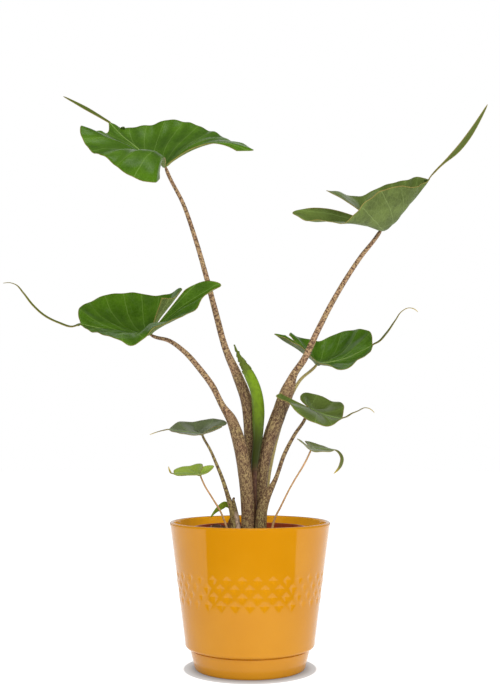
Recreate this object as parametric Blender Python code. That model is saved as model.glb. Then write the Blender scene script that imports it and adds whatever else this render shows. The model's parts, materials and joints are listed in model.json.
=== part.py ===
"""A stingray alocasia in its pots: blades, petioles, rootstock, soil, growing pot and cover pot."""
import bpy
import math
import numpy as np

# Lengths are metres, and points of the leaves and stems are millimetres times MM.
# +Z is up, -Y is the front, and the origin is the centre of the cover pot's underside.
MM = 0.001
GAP = 0.3 * MM

# Cover pot
POT_RIM_RADIUS = 90 * MM
POT_HEIGHT = 161 * MM
POT_BODY_LOW_RADIUS = 72.3 * MM
POT_BODY_LOW_Z = 28.5 * MM
POT_STEP_Z = 23 * MM
POT_FOOT_TOP_RADIUS = 66.8 * MM
POT_FOOT_RADIUS = 61.9 * MM
POT_EDGE = 2.5 * MM
POT_WALL = 5 * MM
POT_FLOOR = 9 * MM
BAND_ROWS = 4
BAND_LOZENGES = 32
BAND_LOW_Z = 79 * MM
BAND_PITCH = 8.95 * MM
LOZENGE_UP = 5 * MM
LOZENGE_DOWN = 7 * MM
LOZENGE_RECESS = 1.1 * MM

# Growing pot
GROW_LOW_RADIUS = 47 * MM
GROW_TOP_RADIUS = 63.4 * MM
GROW_RIM_RADIUS = 65 * MM
GROW_RIM_DEPTH = 12 * MM
GROW_HEIGHT = 145 * MM
GROW_WALL = 1.3 * MM
DRAIN_HOLES = 6
DRAIN_RADIUS = 5 * MM
DRAIN_CIRCLE = 32 * MM

# Soil, and the rootstock that stands in a plain pit in it
SOIL_TOP = 147 * MM
SOIL_MOUND = 2.2 * MM
CROWN_Z = 146 * MM
CORM_CENTRE = (1 * MM, 3 * MM)
CORM_HALF = (31 * MM, 26.5 * MM)
CORM_BOTTOM_Z = 100 * MM

# Blades
BLADE_EDGE_THICK = 0.75 * MM
BLADE_ROOT_THICK = 1.2 * MM
MIDRIB_THICK = 0.9 * MM
TAIL_THICK = 1.0 * MM

# Petioles
TIP_RADIUS = 0.7 * MM
TIP_LENGTH = 6 * MM
BEND_LENGTH = 3.5 * MM

# A blade is a fan of veins from its junction with the petiole. A vein is its end on the margin
# (x, y, z) and how far it bows up from its chord. Left and right are as seen from above, looking
# from the junction to the apex. Left runs from the sinus round the lobe to the apex, and right
# runs from the apex round the other lobe to the sinus. The tail grows on from the apex.
BLADES = {
    "blade_top_left": {
        "junction": (-97.6, -5, 566.9),
        "left": [(-98, -72, 535, 17), (-103, -86, 527, 22), (-128, -88, 534, 24), (-156, -72, 558, 16),
                 (-181, -45, 577, 8), (-193, -20, 609, 4), (-180, 5, 612, -2), (-169, 28, 618, -3)],
        "apex": (-169, 42, 633, -6),
        "right": [(-153, 50, 630, -6), (-129, 62, 636, -6), (-95, 58, 642, -4), (-60, 40, 628, 3),
                  (-26, 18, 606, 13), (4, 2, 588, 18), (-16, -6, 585, 17)],
        "tail": [(-203, 62, 658), (-233, 80, 679)],
        "tail_widths": [3.5, 4.5, 5, 3.5, 1.2], "tail_face": (0.2, -0.9, 0.4), "columns": 15, "rings": 6,
    },
    "blade_top_right": {
        "junction": (150.3, -10, 492.6),
        "left": [(91, 33, 548, 6), (110, 41, 547, 2), (134, 47, 544, -4),
                 (155, 45, 555, -8), (170, 35, 557, -8), (184, 21, 558, -6), (198, 7, 557, -4)],
        "apex": (206, -7, 551, -4),
        "right": [(197, -17, 543, -5), (183, -35, 535, -9), (163, -55, 531, -14), (140, -71, 520, -16),
                  (123, -77, 507, -12), (114, -78, 495, -5), (99, -75, 486, 2), (78, -71, 489, 3),
                  (54, -67, 493, 3), (47, -63, 498, 4), (69, -49, 508, 7)],
        "tail": [(209.5, -10, 555.5), (216, -13, 562.5), (238, -19, 584), (270, -29, 632)],
        "tail_widths": [3.5, 1.8, 6.5, 7.4, 5, 1.2], "tail_face": (0.3, -0.6, -0.3), "columns": 15, "rings": 6,
    },
    "blade_mid_left": {
        "junction": (-114.4, 0, 372.9),
        "left": [(-73, -24, 420, 0), (-47, -32, 429, 3), (-33, -38, 425, 4), (-49, -46, 411, 3),
                 (-66, -52, 390, 2), (-87, -54, 382, 6), (-105, -54, 373, 9), (-115, -54, 363, 11),
                 (-131, -52, 355, 9), (-148, -46, 364, 5), (-171, -28, 371, 2), (-189, -6, 380, 0)],
        "apex": (-195, 4, 385, -4),
        "right": [(-199, 16, 403, -6), (-191, 32, 413, -9), (-169, 48, 425, -11), (-142, 54, 428, -11),
                  (-115, 48, 424, -8), (-97, 40, 424, -3), (-82, 31, 431, 1), (-80, 24, 427, 2),
                  (-91, 7, 415, 1), (-101, -4, 414, 0)],
        "tail": [(-203, 0, 381), (-218, -4, 385), (-234, -8, 393), (-247, -12, 405),
                 (-257, -14, 418), (-265, -16, 427), (-271, -18, 429), (-278, -22, 428)],
        "tail_widths": [3.2, 3.6, 3.4, 3, 2.4, 1.8, 1.3, 1.1], "tail_face": None, "columns": 16, "rings": 6,
    },
    "blade_mid_right": {
        "junction": (79.1, 40, 341.4),
        "left": [(47, 62, 377, 0), (50, 68, 382, 0), (57, 72, 377, 0), (71, 76, 374, -4),
                 (83, 80, 372, -7), (96, 84, 377, -9), (111, 84, 383, -10), (125, 78, 386, -10),
                 (136, 68, 385, -8), (144, 56, 381, -6), (145, 46, 372, -5)],
        "apex": (145, 40, 364, -6),
        "right": [(142, 32, 357, -6), (131, 18, 348, -4), (120, 10, 340, -2), (109, 4, 333, 0),
                  (98, 0, 333, 2), (87, -2, 337, 3), (73, -2, 344, 2), (62, 2, 355, 0),
                  (48, 8, 366, 0), (28, 16, 374, 2), (42, 24, 374, 3)],
        "tail": [(152.5, 38, 367.5), (161, 34, 377), (171, 30, 392), (178, 28, 402), (186, 26, 406),
                 (191, 24, 405), (196, 22, 401)],
        "tail_widths": [2.8, 4.4, 2.8, 1.4, 1.1, 1.1], "tail_face": None, "columns": 13, "rings": 5,
    },
    "blade_low_right": {
        "junction": (67.1, 0, 288.4),
        "left": [(58, 12, 298, 0), (58.5, 18, 303, 0), (62.5, 24, 306.5, -1), (73.5, 30, 305.5, -4),
                 (85.5, 32, 302, -6), (96, 29, 297, -6), (105.5, 22, 295, -5), (108, 14, 291, -4),
                 (106.5, 5, 284, -3)],
        "apex": (104, -6, 276.5, -3),
        "right": [(98.5, -16, 273, -1), (90, -26, 268, 1), (80.5, -33, 268, 3), (69, -38, 271.5, 4),
                  (59, -40, 277, 4), (51.5, -40, 283, 3), (43.5, -38, 291.5, 1), (29, -34, 301, 0),
                  (34.5, -28, 303.5, 0)],
        "tail": [(108, -8, 277.5), (114.5, -10, 281.5), (121.5, -12, 284.5), (129, -14, 288),
                 (134, -16, 287), (139, -18, 282.5)],
        "tail_widths": [2.8, 2.4, 1.6, 1.2, 1.1, 1.1], "tail_face": None, "columns": 12, "rings": 4,
    },
    "blade_low_left": {
        "junction": (-54.3, -3, 258.9),
        "left": [(-40.5, -8, 267, 0), (-31.5, -14, 267.5, 0), (-35.5, -22, 265, 0), (-43, -28, 261.5, 0),
                 (-50, -32, 258.5, 1), (-57, -34, 258, 1), (-66.5, -32, 258, 1), (-76, -24, 259, 0),
                 (-86.5, -11, 261.5, 0)],
        "apex": (-92, 0, 264, -1),
        "right": [(-89.5, 8, 267, -1), (-83, 18, 272.5, -2), (-74.5, 25, 273.5, -3), (-65, 28, 272.5, -4),
                  (-54.5, 28, 275, -3), (-45, 25, 276.5, -2), (-36, 20, 276, 0), (-30, 14, 274, 1),
                  (-26.5, 8, 270.5, 1), (-33, 2, 268, 1)],
        "tail": [(-103, -3, 261.5), (-113, -6, 258)],
        "tail_widths": [2.4, 1.5, 1.2, 1.1], "tail_face": None, "columns": 11, "rings": 4,
    },
    "blade_small_left": {
        "junction": (-56.3, -4, 213.4),
        "left": [(-53, -4, 222, 0), (-47, -7, 223.5, 0), (-40.5, -11, 223, 0), (-43, -15, 219, 0),
                 (-48.5, -18, 215, 1), (-56.5, -19, 213, 1), (-65, -18, 213.5, 0), (-75, -12, 213, 0),
                 (-81, -6, 212, 0)],
        "apex": (-86, 0, 214, 0),
        "right": [(-86.5, 6, 217.5, -1), (-79, 12, 221.5, -1), (-69, 15, 222, -2), (-61.5, 16, 224.5, -1),
                  (-56.5, 12, 225, 0), (-54, 6, 224, 0), (-54.5, 0, 221.5, 0)],
        "tail": [(-89, -1, 214.5), (-91, -1, 218), (-92, -1, 222)],
        "tail_widths": [2.4, 2, 1.4, 1.1], "tail_face": None, "columns": 10, "rings": 3,
    },
    "blade_small_right": {
        "junction": (69.4, -2, 242.3),
        "left": [(63, 11, 251, 0), (70.5, 15, 249.5, -1), (82, 13, 245.5, -1),
                 (91, 6, 242.5, 0)],
        "apex": (95.5, -1, 241, 0),
        "right": [(91, -8, 239, 0), (80.5, -15, 239, 1), (72.5, -19, 239, 1), (64.5, -20, 243, 0),
                  (59, -17, 248, 0), (53, -12, 253.5, 0), (56.5, -8, 252, 0), (62, -4, 248, 0)],
        "tail": [(100, -3, 238), (103, -6, 232), (100.5, -8, 222), (94, -9, 214.5)],
        "tail_widths": [2.8, 4, 4.8, 4.4, 2.6, 1.1], "tail_face": (0.6, -0.7, 0.2), "columns": 9, "rings": 3,
    },
}

# A petiole runs from its blade's junction down to the crown: (x, y, z, radius). Low down the
# radius swells where the petiole wraps the younger ones as a sheath.
PETIOLES = {
    "petiole_top_left": ("blade_top_left", [
        (-97, -5, 565, 2.1), (-76.5, -2, 522, 2.3), (-63.5, 1, 484.5, 2.6), (-50, 4, 438, 3),
        (-39, 6, 396, 3.5), (-27.5, 8, 355, 4), (-14.5, 10, 325.5, 5.8), (-4.3, 11, 298, 6.8),
        (-0.3, 12, 255.5, 6.6), (-2.5, 13, 206.5, 6.2), (-2.5, 13, 146, 6)]),
    "petiole_top_right": ("blade_top_right", [
        (150.5, -10, 491, 2.3), (124.5, -12, 457.5, 2.6), (95, -12, 410.5, 3), (75.5, -11, 373, 3.4),
        (61, -9, 342.5, 3.9), (49.5, -6, 325.5, 4.4), (43.5, -3, 310, 7.4), (32.5, 3, 280.5, 8.2),
        (20.5, 6, 246.5, 7.6), (14, 8, 214.5, 6.9), (12.5, 9, 185, 6.5), (12, 9, 146, 6.3)]),
    "petiole_mid_left": ("blade_mid_left", [
        (-112.5, 0, 372, 2), (-92.5, 0, 365, 2.4), (-74, 0, 351.5, 2.9), (-58, -1, 333.5, 3.3),
        (-43, -3, 313.5, 3.5), (-30.5, -5, 289.5, 3.9), (-21.5, -6, 276, 5.8), (-14, -8, 255.5, 7.1),
        (-5, -9, 207.5, 7.6), (-2.5, -9, 167.5, 7.3), (-2.5, -9, 146, 7.1)]),
    "petiole_mid_right": ("blade_mid_right", [
        (78.5, 40, 339, 1.7), (59.5, 38, 322.5, 1.9), (48, 34, 303.5, 2.3), (35, 30, 269.5, 2.8),
        (23, 27, 223, 3.2), (15, 19.5, 146, 3.4)]),
    "petiole_low_right": ("blade_low_right", [
        (66.5, 1, 286, 1.6), (62.5, 0, 276, 1.8), (50.5, -2, 258, 2), (39, -5, 236.5, 2.3),
        (29, -7, 209, 2.6), (15.5, -8, 181, 5.6), (12.5, -8, 167.5, 6.4), (12.5, -8, 146, 6.2)]),
    "petiole_low_left": ("blade_low_left", [
        (-54.5, -3, 257.5, 1.4), (-45.5, -3, 242, 1.5), (-38.5, -3, 226.5, 1.8), (-30.5, -3, 206.5, 2.2),
        (-25, -3, 189.5, 2.6), (-19.5, -3, 170, 3.6), (-17.5, -3, 146, 3.9)]),
    "petiole_small_left": ("blade_small_left", [
        (-56, -4, 212, 1), (-51.5, -5, 202, 1), (-42.5, -6, 187.5, 1), (-33, -6, 172, 1.1),
        (-23.5, -6, 146, 1.2)]),
    "petiole_small_right": ("blade_small_right", [
        (69, -2, 240.5, 1), (61, -2, 224.5, 1), (50.5, -3, 207.5, 1), (45, -3, 198, 1),
        (33.5, -4, 175.5, 1.1), (29, -4, 167, 1.2), (23.5, -4, 146, 1.4)]),
}

# The rolled new leaf, from its tip down to the crown
FURLED_LEAF = [
    (-18, -4, 360, 0.8), (-14, -5, 350, 1.8), (-8.5, -6, 340, 3.9), (-1, -6, 325.5, 6.6),
    (5, -6, 311.5, 7.3), (8.5, -6, 297, 7.5), (9.8, -6, 283, 7.3), (9.6, -5, 268.5, 6.2),
    (8.4, -3, 253, 4.8), (6.5, -1.5, 238, 4.1), (5, -1, 222, 3.8), (4.5, 0, 180.5, 3.6), (4.5, 0, 146, 3.6)]
ROLL_STEP = 0.2
ROLL_TURNS = 0.6

# A young leaf no taller than the rim: (x, y, z, half width, half thickness), from its tip down
YOUNG_LEAF = [
    (-44.5, 5, 165, 0.7, 0.4), (-39, 6.5, 171.5, 2.2, 0.5), (-33.5, 8, 176, 3.6, 0.55),
    (-28, 9.5, 179, 3.7, 0.6), (-23, 10, 175.5, 1.8, 0.9), (-19.5, 10, 163, 1.3, 1.3), (-16, 8, 146, 1.6, 1.6)]

COLOURS = {
    "glaze": ((0.72, 0.3, 0.012), 0.12),
    "terracotta_plastic": ((0.25, 0.07, 0.035), 0.55),
    "soil": ((0.035, 0.022, 0.015), 0.95),
    "corm": ((0.16, 0.09, 0.05), 0.85),
    "leaf_green": ((0.05, 0.19, 0.025), 0.35),
    "leaf_dark": ((0.04, 0.12, 0.04), 0.4),
    "leaf_light": ((0.22, 0.42, 0.03), 0.4),
    "petiole": ((0.27, 0.16, 0.08), 0.6),
}


def clear_objects():
    for obj in list(bpy.data.objects):
        bpy.data.objects.remove(obj, do_unlink=True)


def finish_material(name):
    colour, roughness = COLOURS[name]
    material = bpy.data.materials.new(name)
    material.use_nodes = True
    shader = material.node_tree.nodes["Principled BSDF"]
    shader.inputs["Base Color"].default_value = (*colour, 1)
    shader.inputs["Roughness"].default_value = roughness
    shader.inputs["Metallic"].default_value = 0
    material.diffuse_color = (*colour, 1)
    return material


def add_solid(name, points, faces, finish):
    mesh = bpy.data.meshes.new(name)
    mesh.from_pydata([tuple(map(float, p)) for p in points], [], [tuple(map(int, f)) for f in faces])
    mesh.update()
    mesh.shade_smooth()
    mesh.set_sharp_from_angle(angle=math.radians(40))
    obj = bpy.data.objects.new(name, mesh)
    obj.data.materials.append(bpy.data.materials.get(finish) or finish_material(finish))
    bpy.context.scene.collection.objects.link(obj)
    return obj


def unit(vector):
    vector = np.asarray(vector, float)
    return vector / (np.linalg.norm(vector) + 1e-12)


def chord_lengths(points):
    steps = np.linalg.norm(np.diff(points, axis=0), axis=1)
    return np.concatenate([[0], np.cumsum(steps)])


def curve_through(stops, values, at):
    """A smooth cubic curve through the values at the stops, read at the places given."""
    stops = np.asarray(stops, float)
    values = np.asarray(values, float)
    flat = values.reshape(len(stops), -1)
    widths = np.diff(stops)[:, None]
    slopes = np.diff(flat, axis=0) / widths
    tangents = np.empty_like(flat)
    tangents[1:-1] = (slopes[:-1] * widths[1:] + slopes[1:] * widths[:-1]) / (widths[:-1] + widths[1:])
    tangents[0] = 1.5 * slopes[0] - 0.5 * tangents[1]
    tangents[-1] = 1.5 * slopes[-1] - 0.5 * tangents[-2]
    at = np.atleast_1d(at)
    span = np.clip(np.searchsorted(stops, at, side="right") - 1, 0, len(stops) - 2)
    width = widths[span]
    t = (at - stops[span])[:, None] / width
    start = (2 * t**3 - 3 * t**2 + 1) * flat[span] + (t**3 - 2 * t**2 + t) * width * tangents[span]
    end = (3 * t**2 - 2 * t**3) * flat[span + 1] + (t**3 - t**2) * width * tangents[span + 1]
    return (start + end).reshape((len(at),) + values.shape[1:])


def evenly_along(points, count):
    points = np.asarray(points, float)
    lengths = chord_lengths(points)
    return curve_through(lengths, points, np.linspace(0, lengths[-1], count))


def blade_normal(junction, ends):
    normal = np.zeros(3)
    for first, second in zip(ends[:-1], ends[1:]):
        normal += np.cross(second - junction, first - junction)
    return unit(normal)


def blade_grid(leaf):
    """Points of a blade, one row for each vein from left sinus to right sinus, and its tail."""
    junction = np.array(leaf["junction"]) * MM
    left = np.array(leaf["left"]) * MM
    right = np.array(leaf["right"]) * MM
    apex = np.array(leaf["apex"]) * MM
    normal = blade_normal(junction, np.vstack([left, apex, right])[:, :3])
    sideways = unit(np.cross(normal, apex[:3] - junction)) * leaf["tail_widths"][0] * MM / 2
    share = np.linspace(0, 1, leaf["rings"] + 1)[:, None]

    def vein(end, bow):
        return junction + (end - junction) * share + bow * 4 * share * (1 - share) * normal

    def half(rows):
        veins = np.array([vein(row[:3], row[3]) for row in rows])
        lengths = chord_lengths(veins[:, -1])
        return curve_through(lengths, veins, np.linspace(0, lengths[-1], leaf["columns"] + 1))

    left_shoulder = np.append(apex[:3] + sideways, apex[3])
    right_shoulder = np.append(apex[:3] - sideways, apex[3])
    veins = np.concatenate([
        half(np.vstack([left, left_shoulder])),
        vein(apex[:3], apex[3])[None],
        half(np.vstack([right_shoulder, right]))])

    path = evenly_along(np.vstack([apex[:3], np.array(leaf["tail"]) * MM]), len(leaf["tail"]) * 2 + 3)
    stops = np.linspace(0, 1, len(leaf["tail_widths"]))
    widths = curve_through(stops, np.array(leaf["tail_widths"]) * MM, np.linspace(0, 1, len(path)))
    face = unit(leaf["tail_face"]) if leaf["tail_face"] else normal
    tail = [[left_shoulder[:3], apex[:3], right_shoulder[:3]]]
    for i in range(1, len(path)):
        along = unit(path[min(i + 1, len(path) - 1)] - path[i - 1])
        turn = min(1, i / 3)
        across = unit(np.cross(unit((1 - turn) * normal + turn * face), along)) * widths[i] / 2
        raised = unit(np.cross(along, across)) * widths[i] / 8
        tail.append([path[i] + across + raised, path[i], path[i] - across + raised])
    return veins, np.array(tail)


def blade_sheet(veins, tail):
    """The blade as one sheet: its points, how thick each is, its triangles and its outline."""
    count, rings = veins.shape[:2]
    middle = count // 2
    points = [veins[0, 0]]
    thick = [BLADE_EDGE_THICK]
    index = np.zeros((count, rings), int)
    for k in range(count):
        for j in range(1, rings):
            index[k, j] = len(points)
            points.append(veins[k, j])
            share = j / (rings - 1)
            rib = MIDRIB_THICK * (1 - share) if k == middle else 0
            thick.append(BLADE_ROOT_THICK + (BLADE_EDGE_THICK - BLADE_ROOT_THICK) * share + rib)
    faces = []
    for k in range(count - 1):
        faces.append((index[k, 0], index[k + 1, 1], index[k, 1]))
        for j in range(1, rings - 1):
            a, b, c, d = index[k, j], index[k, j + 1], index[k + 1, j + 1], index[k + 1, j]
            faces += [(a, c, b), (a, d, c)] if k < middle else [(a, d, b), (b, d, c)]
    rows = [list(index[middle - 1:middle + 2, -1])]
    for row in tail[1:]:
        rows.append([len(points) + i for i in range(3)])
        points += list(row)
        thick += [TAIL_THICK] * 3
    for near, far in zip(rows[:-1], rows[1:]):
        faces += [(near[0], far[1], far[0]), (near[0], near[1], far[1])]
        faces += [(near[1], far[2], far[1]), (near[1], near[2], far[2])]
    outline = [index[0, j] for j in range(rings)]
    outline += [index[k, -1] for k in range(1, middle)]
    outline += [row[0] for row in rows[1:]] + [rows[-1][1]] + [row[2] for row in rows[:0:-1]]
    outline += [index[k, -1] for k in range(middle + 1, count)]
    outline += [index[-1, j] for j in range(rings - 2, 0, -1)]
    return np.array(points), np.array(thick), np.array(faces), outline


def point_normals(points, faces):
    corners = points[faces]
    face_normals = np.cross(corners[:, 1] - corners[:, 0], corners[:, 2] - corners[:, 0])
    normals = np.zeros_like(points)
    for side in range(3):
        np.add.at(normals, faces[:, side], face_normals)
    return normals / (np.linalg.norm(normals, axis=1)[:, None] + 1e-12)


def thicken(points, thick, faces, outline):
    """A closed solid from a sheet, split into the same triangles on both faces."""
    normals = point_normals(points, faces)
    count = len(points)
    top = points + normals * thick[:, None] / 2
    under = points - normals * thick[:, None] / 2
    solid = [tuple(f) for f in faces] + [tuple(f[::-1] + count) for f in faces]
    for first, second in zip(outline, outline[1:] + outline[:1]):
        solid += [(first, second, second + count), (first, second + count, first + count)]
    return np.vstack([top, under]), solid


def make_blade(name, leaf, finish):
    veins, tail = blade_grid(leaf)
    points, thick, faces, outline = blade_sheet(veins, tail)
    solid_points, solid_faces = thicken(points, thick, faces, outline)
    add_solid(name, solid_points, solid_faces, finish)
    normals = point_normals(points, faces)
    tip = points[0] - normals[0] * (thick[0] / 2 + GAP)
    return np.array([tip, tip - normals[0] * BEND_LENGTH])


def ring_frames(path):
    """An across and an up direction for each point of a path, turned as little as can be."""
    frames = []
    across = np.array([0.0, 1.0, 0.0])
    for i in range(len(path)):
        along = unit(path[min(i + 1, len(path) - 1)] - path[max(i - 1, 0)])
        if i == len(path) - 1:
            along = np.array([0.0, 0.0, -1.0])
        across = unit(across - along * np.dot(across, along))
        frames.append((across, np.cross(along, across)))
    return frames


def make_tube(name, path, radii, sides, finish, flat=None, shape=None):
    """A closed tube on a path, round, or with its own half thickness, or with a shaped ring."""
    flat = radii if flat is None else flat
    frames = ring_frames(path)
    points = []
    for i, (across, up) in enumerate(frames):
        for k in range(sides):
            angle = 2 * math.pi * k / sides
            factor = shape(i / (len(path) - 1), k / sides) if shape else 1
            offset = math.cos(angle) * radii[i] * across + math.sin(angle) * flat[i] * up
            points.append(path[i] + factor * offset)
    faces = []
    for i in range(len(path) - 1):
        for k in range(sides):
            a = i * sides + k
            b = i * sides + (k + 1) % sides
            faces += [(a, b, b + sides), (a, b + sides, a + sides)]
    start, end = len(points), len(points) + 1
    points += [path[0], path[-1]]
    last = (len(path) - 1) * sides
    for k in range(sides):
        faces.append((start, (k + 1) % sides, k))
        faces.append((end, last + k, last + (k + 1) % sides))
    return add_solid(name, points, faces, finish)


def make_petiole(name, stops, bend, rings, sides):
    stops = np.array(stops) * MM
    stops[-1, 2] = CROWN_Z + GAP
    stops = np.vstack([stops[:1], stops])
    stops[:2, :3] = bend
    lengths = chord_lengths(stops[:, :3])
    at = np.concatenate([[0, TIP_LENGTH / 2, TIP_LENGTH], np.linspace(0, lengths[-1], rings)[1:]])
    path = curve_through(lengths, stops[:, :3], at)
    radii = curve_through(lengths, stops[:, 3], at)
    neck = np.clip(at / TIP_LENGTH, 0, 1)
    radii = np.where(at <= TIP_LENGTH, TIP_RADIUS + (radii - TIP_RADIUS) * neck, radii)
    make_tube(name, path, radii, sides, "petiole")


def make_leaves_and_petioles():
    finishes = {"blade_low_left": "leaf_dark", "blade_small_left": "leaf_light"}
    bends = {name: make_blade(name, leaf, finishes.get(name, "leaf_green")) for name, leaf in BLADES.items()}
    for name, (blade, stops) in PETIOLES.items():
        thick = max(stop[3] for stop in stops) > 5
        make_petiole(name, stops, bends[blade], 2 * len(stops) + 1, 10 if thick else 8)


def make_furled_leaf():
    stops = np.array(FURLED_LEAF) * MM
    stops[-1, 2] = CROWN_Z + GAP
    rings = evenly_along(stops, 26)

    def rolled(share, turn):
        """One edge of the roll lies over the other, and the edge winds round as it climbs."""
        open_share = math.sin(math.pi * min(1, share / 0.62)) if share < 0.62 else 0
        return 1 - ROLL_STEP * open_share * ((turn + ROLL_TURNS * share) % 1)

    make_tube("furled_leaf", rings[:, :3], rings[:, 3], 14, "leaf_light", shape=rolled)


def make_young_leaf():
    stops = np.array(YOUNG_LEAF) * MM
    stops[-1, 2] = CROWN_Z + GAP
    rings = evenly_along(stops, 14)
    make_tube("young_leaf", rings[:, :3], rings[:, 4], 8, "leaf_green", flat=rings[:, 3])


def revolve(profile, segments):
    """Points and triangles of a profile of (radius, z) turned about Z, closed at the axis."""
    points = []
    rings = []
    for radius, z in profile:
        if radius < 1e-9:
            rings.append([len(points)] * segments)
            points.append((0, 0, z))
            continue
        rings.append(list(range(len(points), len(points) + segments)))
        for k in range(segments):
            angle = 2 * math.pi * k / segments
            points.append((radius * math.cos(angle), radius * math.sin(angle), z))
    faces = []
    for low, high in zip(rings[:-1], rings[1:]):
        for k in range(segments):
            a, b = low[k], low[(k + 1) % segments]
            c, d = high[(k + 1) % segments], high[k]
            faces += [f for f in ((a, b, c), (a, c, d)) if len(set(f)) == 3]
    return points, faces


def pot_radius(z):
    slope = (POT_RIM_RADIUS - POT_BODY_LOW_RADIUS) / (POT_HEIGHT - POT_BODY_LOW_Z)
    return POT_BODY_LOW_RADIUS + slope * (z - POT_BODY_LOW_Z)


def round_corner(centre, radius, start, end, steps):
    angles = np.radians(np.linspace(start, end, steps + 1))
    return [(centre[0] + radius * math.cos(a), centre[1] + radius * math.sin(a)) for a in angles]


def make_cover_pot():
    """A tapered body on a narrower foot, with four staggered rows of sunken lozenges."""
    segments = 2 * BAND_LOZENGES
    band_bottom = BAND_LOW_Z - 1.4 * LOZENGE_DOWN
    band_top = BAND_LOW_Z + (BAND_ROWS - 1) * BAND_PITCH + 1.4 * LOZENGE_UP
    lip = POT_WALL / 2
    inner_low = POT_FOOT_TOP_RADIUS - POT_WALL
    below = [(0, 0), (POT_FOOT_RADIUS - POT_EDGE, 0)]
    below += round_corner((POT_FOOT_RADIUS - POT_EDGE, POT_EDGE), POT_EDGE, -45, 0, 1)
    below += [(POT_FOOT_TOP_RADIUS, POT_STEP_Z - MM), (POT_FOOT_TOP_RADIUS + MM, POT_STEP_Z)]
    below += round_corner((pot_radius(POT_BODY_LOW_Z) - 4 * MM, POT_BODY_LOW_Z - MM), 4 * MM, -70, 0, 2)
    below += [(pot_radius(z), z) for z in np.linspace(POT_BODY_LOW_Z + 18 * MM, band_bottom, 2)]
    above = [(pot_radius(z), z) for z in np.linspace(band_top, POT_HEIGHT - 8 * MM, 2)]
    above += round_corner((POT_RIM_RADIUS - lip, POT_HEIGHT - lip), lip, 0, 180, 4)
    above += [(pot_radius(z) - POT_WALL, z) for z in np.linspace(POT_HEIGHT - 12 * MM, POT_STEP_Z + 10 * MM, 2)]
    above += [(inner_low, POT_FLOOR + 3 * MM), (inner_low - 3 * MM, POT_FLOOR), (0, POT_FLOOR)]

    points, faces = revolve(below, segments)
    lower_ring = range(len(points) - segments, len(points))
    columns = []
    for k, start in enumerate(lower_ring):
        angle = 2 * math.pi * k / segments
        column = [[start]]
        for row in range(BAND_ROWS):
            z = BAND_LOW_Z + row * BAND_PITCH
            heights = [(z, 0)]
            if (row + k) % 2 == 0:
                heights = [(z - LOZENGE_DOWN, 0), (z, LOZENGE_RECESS), (z + LOZENGE_UP, 0)]
            column.append([len(points) + i for i in range(len(heights))])
            for height, recess in heights:
                radius = pot_radius(height) - recess
                points.append((radius * math.cos(angle), radius * math.sin(angle), height))
        columns.append(column)
    first_above = len(points)
    upper_points, upper_faces = revolve(above, segments)
    points += upper_points
    faces += [tuple(i + first_above for i in face) for face in upper_faces]
    for k, column in enumerate(columns):
        column.append([first_above + k])
    for k in range(segments):
        faces += band_faces(columns[k], columns[(k + 1) % segments])
    add_solid("cover_pot", points, faces, "glaze")


def band_faces(left, right):
    """Triangles between two columns of the band, always along the lozenges' own edges."""
    faces = []
    for row in range(1, len(left)):
        below_left, below_right = left[row - 1][-1], right[row - 1][-1]
        faces += [(below_left, below_right, right[row][0]), (below_left, right[row][0], left[row][0])]
        faces += [(a, right[row][0], b) for a, b in zip(left[row][:-1], left[row][1:])]
        faces += [(left[row][0], a, b) for a, b in zip(right[row][:-1], right[row][1:])]
    return faces


def grow_inner_radius(z):
    low = POT_FLOOR + GAP
    slope = (GROW_TOP_RADIUS - GROW_LOW_RADIUS) / GROW_HEIGHT
    return GROW_LOW_RADIUS - GROW_WALL + slope * (z - low)


def make_growing_pot():
    """A thin tapered pot with a turned-out rim band and drain holes, standing on the pot's floor."""
    low = POT_FLOOR + GAP
    top = low + GROW_HEIGHT
    rim_low = top - GROW_RIM_DEPTH
    wall = GROW_WALL
    profile = [(0, low), (GROW_LOW_RADIUS - 2 * MM, low), (GROW_LOW_RADIUS, low + 2 * MM)]
    profile += [(grow_inner_radius(z) + wall, z) for z in np.linspace(low + 40 * MM, rim_low - MM, 3)]
    profile += [(GROW_RIM_RADIUS - 0.3 * MM, rim_low), (GROW_RIM_RADIUS, top - 0.6 * MM)]
    profile += [(GROW_RIM_RADIUS - 0.6 * MM, top), (grow_inner_radius(top) + 0.3 * MM, top)]
    profile += [(grow_inner_radius(z), z) for z in np.linspace(top - MM, low + wall + MM, 4)]
    profile += [(grow_inner_radius(low) - 2 * MM, low + wall), (0, low + wall)]
    pot = add_solid("growing_pot", *revolve(profile, 40), "terracotta_plastic")
    for k in range(DRAIN_HOLES):
        angle = 2 * math.pi * (k + 0.27) / DRAIN_HOLES
        bpy.ops.mesh.primitive_cylinder_add(
            vertices=16, radius=DRAIN_RADIUS, depth=6 * wall,
            location=(DRAIN_CIRCLE * math.cos(angle), DRAIN_CIRCLE * math.sin(angle), low + wall / 2))
        cutter = bpy.context.object
        cutter.name = f"drain_cutter_{k}"
        cutter.hide_render = True
        cutter.display_type = "WIRE"
        cut = pot.modifiers.new(f"drain_{k}", "BOOLEAN")
        cut.operation = "DIFFERENCE"
        cut.solver = "EXACT"
        cut.object = cutter


def corm_ring(scale, z, segments):
    """A ring of the rootstock's oval, and the same oval with a clearance for its pit."""
    ring = []
    for k in range(segments):
        angle = 2 * math.pi * k / segments
        x = CORM_CENTRE[0] + CORM_HALF[0] * scale * math.cos(angle)
        y = CORM_CENTRE[1] + CORM_HALF[1] * scale * math.sin(angle)
        ring.append((x, y, z))
    return ring


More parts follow.
